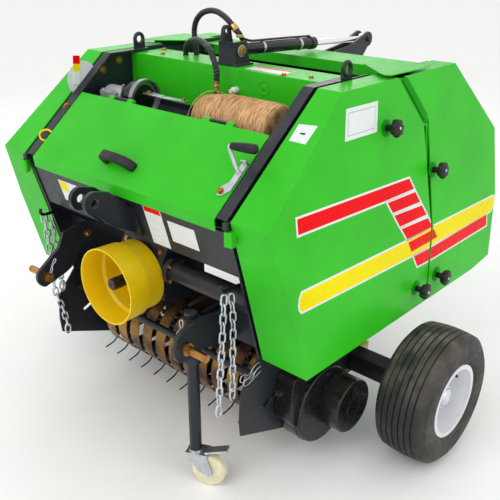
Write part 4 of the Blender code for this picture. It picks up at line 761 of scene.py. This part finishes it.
power_take_off()


# ---------------------------------------------------------------- pickup
def tine_x(index):
    return (index - (TINE_COUNT - 1) / 2) * TINE_PITCH


def reel():
    shapes = [rod((-0.416, REEL_Y, REEL_Z), (0.416, REEL_Y, REEL_Z), 0.0165)]
    for x in (-0.385, -0.002, 0.379):
        shapes.append(rod((x, REEL_Y, REEL_Z), (x + 0.006, REEL_Y, REEL_Z), BAR_CIRCLE_R + 0.014, 64))
    tines = []
    for quarter in range(4):
        angle = radians(38 + 90 * quarter)

        def at(radius, turn, x):
            return Vector((x, REEL_Y + radius * cos(angle + turn), REEL_Z + radius * sin(angle + turn)))

        shapes.append(rod(at(BAR_CIRCLE_R, 0, -0.385), at(BAR_CIRCLE_R, 0, 0.385), 0.009, 20))
        for index in range(TINE_COUNT):
            x = tine_x(index)
            path = []
            for step in range(11):
                turn = 2 * pi * step / 8
                path.append(at(BAR_CIRCLE_R, 0, x + 0.004 - 0.0007 * step)
                            + Vector((0, cos(turn + angle), sin(turn + angle))) * 0.0115)
            path += [at(0.112, 0.075, x - 0.001), at(0.128, 0.065, x), at(0.146, 0.005, x),
                     at(TINE_TIP_R, -0.050, x)]
            tines.append(sweep(curve(path, 3), 0.0024, 8))
    make("reel_frame", "dark", "reel", shapes, bevel=0.0008, replaces=("tine_reel",))
    make("reel_tines", "black", "reel", tines, bevel=0)
    bolts = []
    for index in range(TINE_COUNT - 1):
        x = (tine_x(index) + tine_x(index + 1)) / 2
        bolts += bolt((x, -0.084, 0.317), (0, 1, 0), 0.0055, 0.0045, 0.0085)
        bolts += bolt((x, -0.084, 0.083), (0, 1, 0), 0.0055, 0.0045, 0.0085)
    make("band_bolts", "zinc", "frame", bolts, bevel=0)


reel()


def drive_cover():
    seat = FRAME_HALF + 0.0003
    rolled = 0.006

    def dome(radius, low, high):
        profile = [(0, low), (radius, low), (radius, high - rolled)]
        for step in range(1, 5):
            turn = radians(22.5 * step)
            profile.append((radius - rolled * (1 - cos(turn)), high - rolled * (1 - sin(turn))))
        return profile + [(0, high)]

    box = prism("x", [(-0.330, 0.120), (-0.392, 0.196), (-0.398, 0.212), (-0.384, 0.316), (-0.374, 0.328),
                      (-0.160, 0.349), (-0.148, 0.338), (-0.130, 0.250)], seat, 0.478)
    rim = turned([(0.1165, 0.4183 + 0.050), (0.1205, 0.4183 + 0.050), (0.1205, 0.4183 + 0.056),
                  (0.1165, 0.4183 + 0.056)], (0, -0.250, 0.190), (1, 0, 0), 96)
    make("pickup_drive_cover", "black", "frame", [
        turned(dome(0.118, seat, 0.490), (0, -0.250, 0.190), (1, 0, 0), 96), box, rim,
        turned(dome(0.082, 0.489, 0.556), (0, -0.200, 0.187), (1, 0, 0), 96),
    ], bevel=0.003, replaces=("drive_cover",), steps=3)
    bolts = bolt((0.490, -0.250, 0.292), (1, 0, 0), 0.0065, 0.005, 0.010)
    make("cover_bolts", "black", "frame", bolts, bevel=0.0003)
    clips = [r_clip((0.4205, -0.474, 0.384), (0, -1, -0.28), (0, -0.25, 1), 1.5),
             r_clip((0.4225, -0.468, 0.372), (0, -1, -0.35), (0, -0.30, 1), 1.4)]
    make("plate_clips", "zinc", "frame", clips, bevel=0)
    mark = turned([(0.028, 0), (0.031, 0), (0.0305, 0.0010), (0.0285, 0.0010)],
                  (0.5558, -0.200, 0.187), (1, 0, 0), 48)
    make("drum_mark", "black", "frame", [mark], bevel=0)


drive_cover()


# ---------------------------------------------------------------- hitch
HOOK_X = 0.392
LINK_BOLT = {"left": (-0.470, 0.485), "right": (-0.464, 0.574)}
STRANDS = {
    "left": (
        ((-0.560, 0.634), (-0.566, 0.560), (-0.573, 0.470), (-0.581, 0.390), (-0.587, 0.316)),
        ((-0.540, 0.630), (-0.534, 0.560), (-0.536, 0.470), (-0.538, 0.390), (-0.539, 0.346)),
    ),
    "right": (
        ((-0.562, 0.644), (-0.556, 0.560), (-0.553, 0.470), (-0.553, 0.380), (-0.530, 0.290),
         (-0.521, 0.232)),
        ((-0.540, 0.640), (-0.532, 0.560), (-0.527, 0.470), (-0.521, 0.392)),
    ),
}


def hitch():
    """Link pin clips, link bolts, and the stabiliser chains on their hooks."""
    for name, side in SIDES:
        inner = side * (LINK_X - 0.0003)
        make(f"link_bolt_{name}", "passivated", "frame",
             bolt((inner, *LINK_BOLT[name]), (-side, 0, 0), 0.0090, 0.008, 0.013), bevel=0.0004)
        make(f"link_clip_{name}", "zinc", "frame", [
            r_clip((side * (LINK_X - 0.016), PIN_Y + 0.004, PIN_Z + 0.026), (0, 0.5, 1), (-side, 0, 0.3), 0.9),
        ], bevel=0)
        x = side * HOOK_X
        hook = curve([(x, -0.505, 0.640), (x, -0.540, 0.640), (x, -0.562, 0.642), (x, -0.571, 0.650),
                      (x, -0.568, 0.662)], 6)
        make(f"chain_hook_{name}", "black", "frame", [sweep(hook, 0.0050, 14)], bevel=0)
        shapes = []
        for number, strand in enumerate(STRANDS[name]):
            shapes += chain([(x + side * 0.004 * number, y, z) for y, z in strand],
                            pitch=0.026, width=0.016, wire=0.0028)
            y, z = strand[-1]
            ring = [Vector((x + side * 0.004 * number, y + 0.010 * cos(t), z - 0.014 + 0.018 * sin(t)))
                    for t in (2 * pi * k / 24 for k in range(24))]
            shapes.append(sweep(ring, 0.0032, 10, closed=True))
        make(f"chain_{name}", "zinc", "frame", shapes, bevel=0)


hitch()


# ---------------------------------------------------------------- lid
def lid_fittings():
    outline = [(-0.108, 0.000), (-0.108, 0.022), (-0.100, 0.034), (-0.085, 0.038), (-0.035, 0.038),
               (0.010, 0.034), (0.034, 0.022), (0.043, 0.008), (0.043, 0.000), (0.024, 0.000),
               (0.008, 0.012), (-0.030, 0.022), (-0.066, 0.022), (-0.080, 0.012), (-0.086, 0.000)]
    outline = [(0.043 - (0.043 - x) * 0.84, up) for x, up in outline]
    points = []
    for level in (-0.013, 0.013):
        for x, up in outline:
            points.append(tuple(Vector(on_slope(x, -0.532, up + 0.0003))
                                + Vector((0, 1, SLOPE)).normalized() * level))
    make("lid_handle", "black_plastic", "lid", [(points, plate_faces(len(outline)))], bevel=0.0035,
         replaces=("hatch_handle",), steps=4, angle=28)

    strap = [on_slope(x, y, 0.0003) for x, y in
             ((0.3435, -0.524), (0.349, -0.534), (0.362, -0.533), (0.379, -0.516), (0.379, -0.454),
              (0.361, -0.454), (0.360, -0.502), (0.347, -0.513))]
    strap += [tuple(Vector(point) + SLOPE_OUT * 0.0042) for point in strap]
    tab = [on_slope(x, y, up) for up in (0.0003, 0.0150) for x, y in
           ((0.361, -0.458), (0.379, -0.458), (0.379, -0.4545), (0.361, -0.4545))]
    stem = curve([on_slope(0.368, -0.478, 0.003), on_slope(0.360, -0.468, 0.030),
                  on_slope(0.350, -0.456, 0.054), on_slope(0.350, -0.452, 0.0595),
                  on_slope(0.362, -0.4512, 0.0595)], 6)
    make("latch_lever", "zinc", "lid", [(strap, plate_faces(8)), (tab, plate_faces(4)), sweep(stem, 0.0055, 16)],
         bevel=0.0008, replaces=("lid_latch",))
    start, end = Vector(on_slope(0.354, -0.451, 0.060)), Vector(on_slope(0.428, -0.444, 0.056))
    reach = (end - start).length
    grip = [(0, 0), (0.0082, 0), (0.0095, 0.004), (0.0112, reach * 0.35), (0.0125, reach * 0.75),
            (0.0120, reach * 0.93), (0.0070, reach * 0.99), (0, reach)]
    make("latch_grip", "black_plastic", "lid", [turned(grip, start, end - start, 40)], bevel=0)
    make("latch_bolt", "passivated", "lid",
         bolt(on_slope(0.3525, -0.524, 0.0045), SLOPE_OUT, 0.0065, 0.006, 0.009), bevel=0.0003)
    ring = [Vector(on_slope(-0.392 + 0.018 * cos(t), -0.519 + 0.014 * sin(t), 0.001 - 0.009 * cos(t)))
            for t in (2 * pi * k / 24 for k in range(24))]
    make("edge_ring", "guard_yellow", "frame", [sweep(ring, 0.0030, 12, closed=True)], bevel=0)


lid_fittings()


# ---------------------------------------------------------------- twine and its drive
def twine():
    low, high = BALL_X
    centre_z = TRAY_Z + BALL_R + 0.0003
    rings, sides = 150, 168
    points, faces = [], []
    strand = 0.0078
    for i in range(rings + 1):
        share = i / rings
        x = low + (high - low) * share
        end = min(share, 1 - share) * (high - low)
        radius = BALL_R - 0.0022
        if end < 0.018:
            radius -= 0.018 * (1 - (1 - (1 - end / 0.018) ** 2) ** 0.5)
        radius -= 0.016 * max(0.0, 1 - share / 0.45) ** 1.6
        for k in range(sides):
            angle = 2 * pi * k / sides
            first = abs(sin(pi * (x / strand + 3 * angle / pi)))
            second = abs(sin(pi * (x / strand - 3 * angle / pi)))
            patch = sin(3 * angle + x * 55) > 0
            reach = radius + 0.0022 * (first if patch else second)
            points.append((x, BALL_Y + reach * cos(angle), centre_z + reach * sin(angle)))
    for i in range(rings):
        for k in range(sides):
            m = (k + 1) % sides
            faces.append((i * sides + k, i * sides + m, (i + 1) * sides + m, (i + 1) * sides + k))
    faces.append(tuple(range(sides)))
    faces.append(tuple(range(rings * sides, (rings + 1) * sides)))
    make("twine_spool", "twine", "frame", [(points, faces)], bevel=0, replaces=("twine_ball",))
    strands = []
    for number in range(5):
        path = []
        for step in range(40):
            angle = 0.4 + number * 0.5 + step * 0.11
            x = low + 0.05 + number * 0.042 + 0.0016 * step * (1 if number % 2 else -1)
            reach = BALL_R - 0.0002
            path.append(Vector((x, BALL_Y + reach * cos(angle), centre_z + reach * sin(angle))))
        strands.append(sweep(path, 0.0012, 8))
    make("twine_strands", "twine", "frame", strands, bevel=0)


twine()


def twine_drive():
    block_shape = block((-0.370, -0.330, TRAY_Z + 0.0003), (-0.290, -0.235, 0.975))
    housing = turned([(0, 0), (0.036, 0), (0.036, 0.074), (0.030, 0.080), (0, 0.080)],
                     (-0.370, -0.2825, 0.985 - 0.012), (1, 0, 0), 48)
    ears = [block((-0.368, -0.328, 0.974), (-0.292, -0.316, 0.999)),
            block((-0.368, -0.249, 0.974), (-0.292, -0.237, 0.999))]
    make("twine_gearbox", "cast", "frame", [block_shape, housing, *ears], bevel=0.003,
         replaces=("twine_drive",), steps=3)
    axis = (-0.275, 0.985)
    make("twine_drum", "black", "frame", [
        turned([(0, 0), (0.030, 0), (0.030, 0.037), (0.046, 0.039), (0.046, 0.078), (0.040, 0.084),
                (0, 0.084)], (-0.300, *axis), (1, 0, 0), 64)], bevel=0.0012)
    make("twine_ring", "steel", "frame", [
        turned([(0.040, 0.078), (0.058, 0.078), (0.058, 0.094), (0.052, 0.094), (0.052, 0.083),
                (0.040, 0.083)], (-0.300, *axis), (1, 0, 0), 72)], bevel=0.0008)
    arm = prism("z", [(-0.212, -0.262), (-0.205, -0.292), (-0.100, -0.300), (-0.020, -0.292),
                      (-0.020, -0.276), (-0.100, -0.276)], 1.002, 1.006)
    make("twine_arm", "zinc", "frame", [arm], bevel=0.0008)
    make("twine_arm_bolts", "passivated", "frame",
         bolt((-0.030, -0.284, 1.006), (0, 0, 1), 0.0065, 0.0045, 0.0075)
         + bolt((-0.190, -0.278, 1.006), (0, 0, 1), 0.0065, 0.0045, 0.0085), bevel=0.0003)
    bolts = []
    for x, y in ((-0.356, -0.322), (-0.304, -0.322), (-0.356, -0.243), (-0.304, -0.243)):
        bolts += bolt((x, y, 0.999), (0, 0, 1), 0.0055, 0.0042, 0.007)
    make("twine_gearbox_bolts", "zinc", "frame", bolts, bevel=0)
    peg = turned([(0, 0), (0.010, 0), (0.010, 0.016), (0.006, 0.018), (0.006, 0.028), (0, 0.028)],
                 (0.060, -0.158, 1.030), (0, -1, 0), 28)
    make("twine_guide", "decal_white", "frame", [peg], bevel=0.0005)


twine_drive()


# ---------------------------------------------------------------- top of the machine
def top_fittings():
    base, eye = Vector((0, BASE_Y, BASE_Z)), Vector((0, EYE_Y, EYE_Z))
    along = (eye - base).normalized()
    over = Vector((1, 0, 0)).cross(along)
    over = over if over.z > 0 else -over
    lift = BARREL_R + 0.0045
    pipe_path = curve([PORT_KNEE + Vector((0, 0.004, -0.012)), PORT_KNEE + Vector((0.006, 0.016, -0.014)),
                       base + along * 0.075 + over * lift + Vector((0.006, 0, 0)),
                       base + along * 0.14 + over * lift + Vector((0.004, 0, 0)),
                       base + along * 0.24 + over * lift, base + along * 0.34 + over * lift,
                       base + along * 0.362 + over * (lift - 0.001), base + along * 0.370 + over * 0.012], 8)
    make("barrel_pipe", "black", "barrel", [sweep(pipe_path, 0.0036, 14)], bevel=0)
    clamps = [turned([(BARREL_R, 0), (BARREL_R + 0.0016, 0), (BARREL_R + 0.0016, 0.010), (BARREL_R, 0.010)],
                     base + along * spot, along, 40) for spot in (0.12, 0.30)]
    make("pipe_clamps", "zinc", "barrel", clamps, bevel=0.0003)
    make("port_union", "brass", "barrel", [
        hexagon(PORT_TIP - PORT_OUT * 0.004, PORT_OUT, 0.0118, 0.010),
        turned([(0, -0.004), (0.0102, -0.004), (0.0108, 0.006), (0.0102, 0.016), (0, 0.016)],
               PORT_TIP, PORT_OUT, 32),
        hexagon(PORT_KNEE - Vector((0, 0, 0.008)), (0, 0, 1), 0.0115, 0.009)], bevel=0.0004)
    make("bracket_bolt", "passivated", "frame", [
        hexagon((0.0362, BASE_Y, BASE_Z), (1, 0, 0), 0.0135, 0.008)], bevel=0.0005)
    make("bracket_washer", "zinc", "frame", [
        turned([(0.0092, 0), (0.017, 0), (0.017, 0.002), (0.0092, 0.002)],
               (0.0342, BASE_Y, BASE_Z), (1, 0, 0), 36)], bevel=0.0003)
    make("bracket_nut", "zinc", "frame", [
        hexagon((-0.0342, BASE_Y, BASE_Z), (-1, 0, 0), 0.0135, 0.009)], bevel=0.0005)
    bolts = []
    for x, y in ((-0.300, -0.120), (0.300, -0.120), (-0.360, -0.060), (0.360, -0.060), (0.225, -0.145)):
        bolts += bolt((x, y, BOX_Z), (0, 0, 1), 0.0065, 0.005, 0.010)
    make("top_bolts", "passivated", "frame", bolts, bevel=0.0003)
    label = prism("z", [(0.075, -0.140), (0.215, -0.140), (0.215, -0.080), (0.075, -0.080)],
                  BOX_Z - 0.0003, BOX_Z + 0.0003)
    make("top_label", "decal_white", "frame", [label], bevel=0)
    band = prism("z", [(0.078, -0.097), (0.212, -0.097), (0.212, -0.083), (0.078, -0.083)],
                 BOX_Z - 0.0002, BOX_Z + 0.00045)
    make("top_label_band", "decal_red", "frame", [band], bevel=0)
    make("box_stamp", "green", "frame", [
        turned([(0.018, -0.0005), (0.022, -0.0005), (0.0215, 0.0012), (0.0185, 0.0012)],
               (0.165, -0.158, 1.050), (0, -1, 0), 48),
        turned([(0.0, -0.0005), (0.008, -0.0005), (0.0075, 0.0012), (0, 0.0012)],
               (0.165, -0.158, 1.050), (0, -1, 0), 32)], bevel=0)


top_fittings()


# ---------------------------------------------------------------- counter, plates and bolts
def counter():
    seat = -(FRAME_HALF + 0.0003)
    rolled = [(0, 0), (0.055, 0), (0.055, 0.0020), (0.0535, 0.0030), (0.048, 0.0030), (0.047, 0.0024),
              (0.012, 0.0024), (0.011, 0.0030), (0, 0.0030)]
    make("counter_disc", "white", "frame", [turned(rolled, (seat, -0.350, 1.028), (-1, 0, 0), 72)],
         bevel=0, replaces=("bale_counter",))
    foot, head = ((-0.392, 0.978), (-0.368, 0.978)), ((-0.380, 1.103), (-0.356, 1.100))

    def share(part):
        return [tuple(a + (b - a) * part for a, b in zip(low, high)) for low, high in zip(foot, head)]

    for label, finish, low, high in (("white", "decal_white", 0.30, 0.62), ("yellow", "decal_yellow", 0.62, 0.80),
                                     ("red", "decal_red", 0.80, 1.0)):
        first, second = share(low), share(high)
        outline = [first[0], first[1], second[1], second[0]]
        make(f"counter_bar_{label}", finish, "frame", [prism("x", outline, seat + 0.0004, seat + 0.0032)],
             bevel=0.0004)


counter()


def front_plate(name, finish, x_range, z_range, lift):
    """A blank label on the sloping front panel."""
    def panel_y(z):
        return FOLD_Y + (NOSE_Y - FOLD_Y) * (z - FOLD_Z) / (NOSE_Z - FOLD_Z) + 0.004

    points = []
    for out in (0.0004, -lift):
        for x, z in ((x_range[0], z_range[0]), (x_range[1], z_range[0]), (x_range[1], z_range[1]),
                     (x_range[0], z_range[1])):
            points.append((x, panel_y(z) + out, z))
    make(name, finish, "frame", [(points, plate_faces(4))], bevel=0)


front_plate("panel_label_1", "decal_white", (0.094, 0.164), (0.677, 0.797), 0.0004)
front_plate("panel_label_1_band", "decal_red", (0.097, 0.161), (0.778, 0.794), 0.0006)
front_plate("panel_label_2", "decal_white", (0.183, 0.283), (0.709, 0.772), 0.0004)
front_plate("panel_label_3", "decal_white", (-0.300, -0.150), (0.707, 0.776), 0.0004)
front_plate("panel_label_3_mark", "decal_yellow", (-0.297, -0.262), (0.740, 0.773), 0.0006)


def small_labels():
    corners = ((0.442, -0.347), (0.496, -0.343), (0.494, -0.386), (0.444, -0.386))
    for tag, finish, shrink, lift in (("field", "decal_white", 0.0, 0.0004), ("mark", "black", 0.0185, 0.0006)):
        outline = grown(list(corners), -shrink)
        points = [on_slope(x, y, -0.0003) for x, y in outline] + [on_slope(x, y, lift) for x, y in outline]
        make(f"slope_label_{tag}", finish, "front_door_left_body", [(points, plate_faces(4))], bevel=0)
    for tag, finish, low, high, lift in (("field", "decal_white", 0.0, 1.0, 0.0004),
                                         ("band", "decal_yellow", 0.72, 0.98, 0.0007)):
        foot, head = ((0.034, 0.172), (0.080, 0.172)), ((0.034, 0.232), (0.080, 0.232))
        outline = [tuple(a + (b - a) * part for a, b in zip(foot[i], head[i]))
                   for i, part in ((0, low), (1, low), (1, high), (0, high))]
        make(f"plate_label_{tag}", finish, "frame",
             [prism("x", outline, FRAME_HALF - 0.0003, FRAME_HALF + lift)], bevel=0)


small_labels()


def frame_details():
    for name, side in SIDES:
        inner = side * 0.4120
        bolts = []
        for y, z in ((-0.209, 1.070), (-0.275, 1.045)):
            bolts += bolt((inner, y, z), (-side, 0, 0), 0.0085, 0.007, 0.013)
        if side < 0:
            bolts += bolt(on_slope(-0.404, -0.430, 0.0003), SLOPE_OUT, 0.0065, 0.005, 0.010)
        make(f"post_bolts_{name}", "passivated", "frame", bolts, bevel=0.0004)
        ring = [Vector((side * 0.415, -0.120 + 0.0165 * cos(t), 1.127 + 0.0165 * sin(t)))
                for t in (2 * pi * k / 36 for k in range(36))]
        make(f"lifting_eye_{name}", "dark", "frame", [sweep(ring, 0.0062, 16, closed=True)], bevel=0)


frame_details()


def inner_sheets():
    """Dark sheets behind the pickup bands and above the crop inlet. The one behind the bands is painted shade: a
    dark sheet where the machine lies in shade between the bands.
    """
    back = [(-0.402, -0.0790), (0.402, -0.0790), (0.402, -0.0765), (-0.402, -0.0765)]
    outline = [(-0.400, 0.640), (-0.150, 0.548), (-0.150, 0.551), (-0.400, 0.643)]
    # Painted shade: a dark sheet behind the bands, for the shade seen between them.
    make("pickup_shade_sheet", "dark", "frame", [prism("z", back, 0.075, 0.330)], bevel=0.0004)
    make("inlet_sheet", "dark", "frame", [prism("x", outline, -0.405, 0.405)], bevel=0.0004)


inner_sheets()


def cad_looks():
    """Better materials and rounded edges for the CAD nodes that stay in view."""
    weld = welding()
    for name, thing in nodes.items():
        if thing.hide_render:
            continue
        slot = thing.data.materials[0].name.split(".")[0]
        finish = "band" if name == "stripper_bands" else LOOK_OF_SLOT[slot]
        thing.data.materials[0] = FINISHES[finish]
        join = thing.modifiers.new("join", "NODES")
        join.node_group = weld
        flat = thing.modifiers.new("flat", "DECIMATE")
        flat.decimate_type = "DISSOLVE"
        flat.angle_limit = radians(0.5)
        low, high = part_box(name)
        thin = min(h - l for l, h in zip(low, high))
        dress(thing, min(0.0011, thin * 0.16))


cad_looks()

# ---------------------------------------------------------------- stage
floor_mesh = bpy.data.meshes.new("floor")
REACH = 40.0
floor_mesh.from_pydata([(-REACH, -REACH, 0), (REACH, -REACH, 0), (REACH, REACH, 0), (-REACH, REACH, 0)],
                       [], [(0, 1, 2, 3)])
floor_mesh.materials.append(look("floor", (0.90, 0.90, 0.89), 0.7, vary=0.01, dust=0.0, bump=0.0))
floor = bpy.data.objects.new("floor", floor_mesh)
floor.location.z = -0.0005
bpy.context.scene.collection.objects.link(floor)

world = bpy.data.worlds.new("sky")
world.use_nodes = True
world.node_tree.nodes["Background"].inputs["Color"].default_value = (1, 1, 1, 1)
world.node_tree.nodes["Background"].inputs["Strength"].default_value = 1.0
bpy.context.scene.world = world
for label, place, size, energy in (("key", (0.2, -3.4, 3.8), 2.6, 50), ("fill", (3.8, -0.6, 2.4), 2.4, 22),
                                   ("back", (-2.5, 2.5, 3.0), 2.6, 25)):
    lamp = bpy.data.lights.new(label, "AREA")
    lamp.size = size
    lamp.energy = energy
    shine = bpy.data.objects.new(label, lamp)
    shine.location = place
    shine.rotation_euler = (Vector((0, 0, 0.6)) - Vector(place)).to_track_quat("-Z", "Y").to_euler()
    bpy.context.scene.collection.objects.link(shine)
bpy.context.scene.view_settings.view_transform = "Standard"
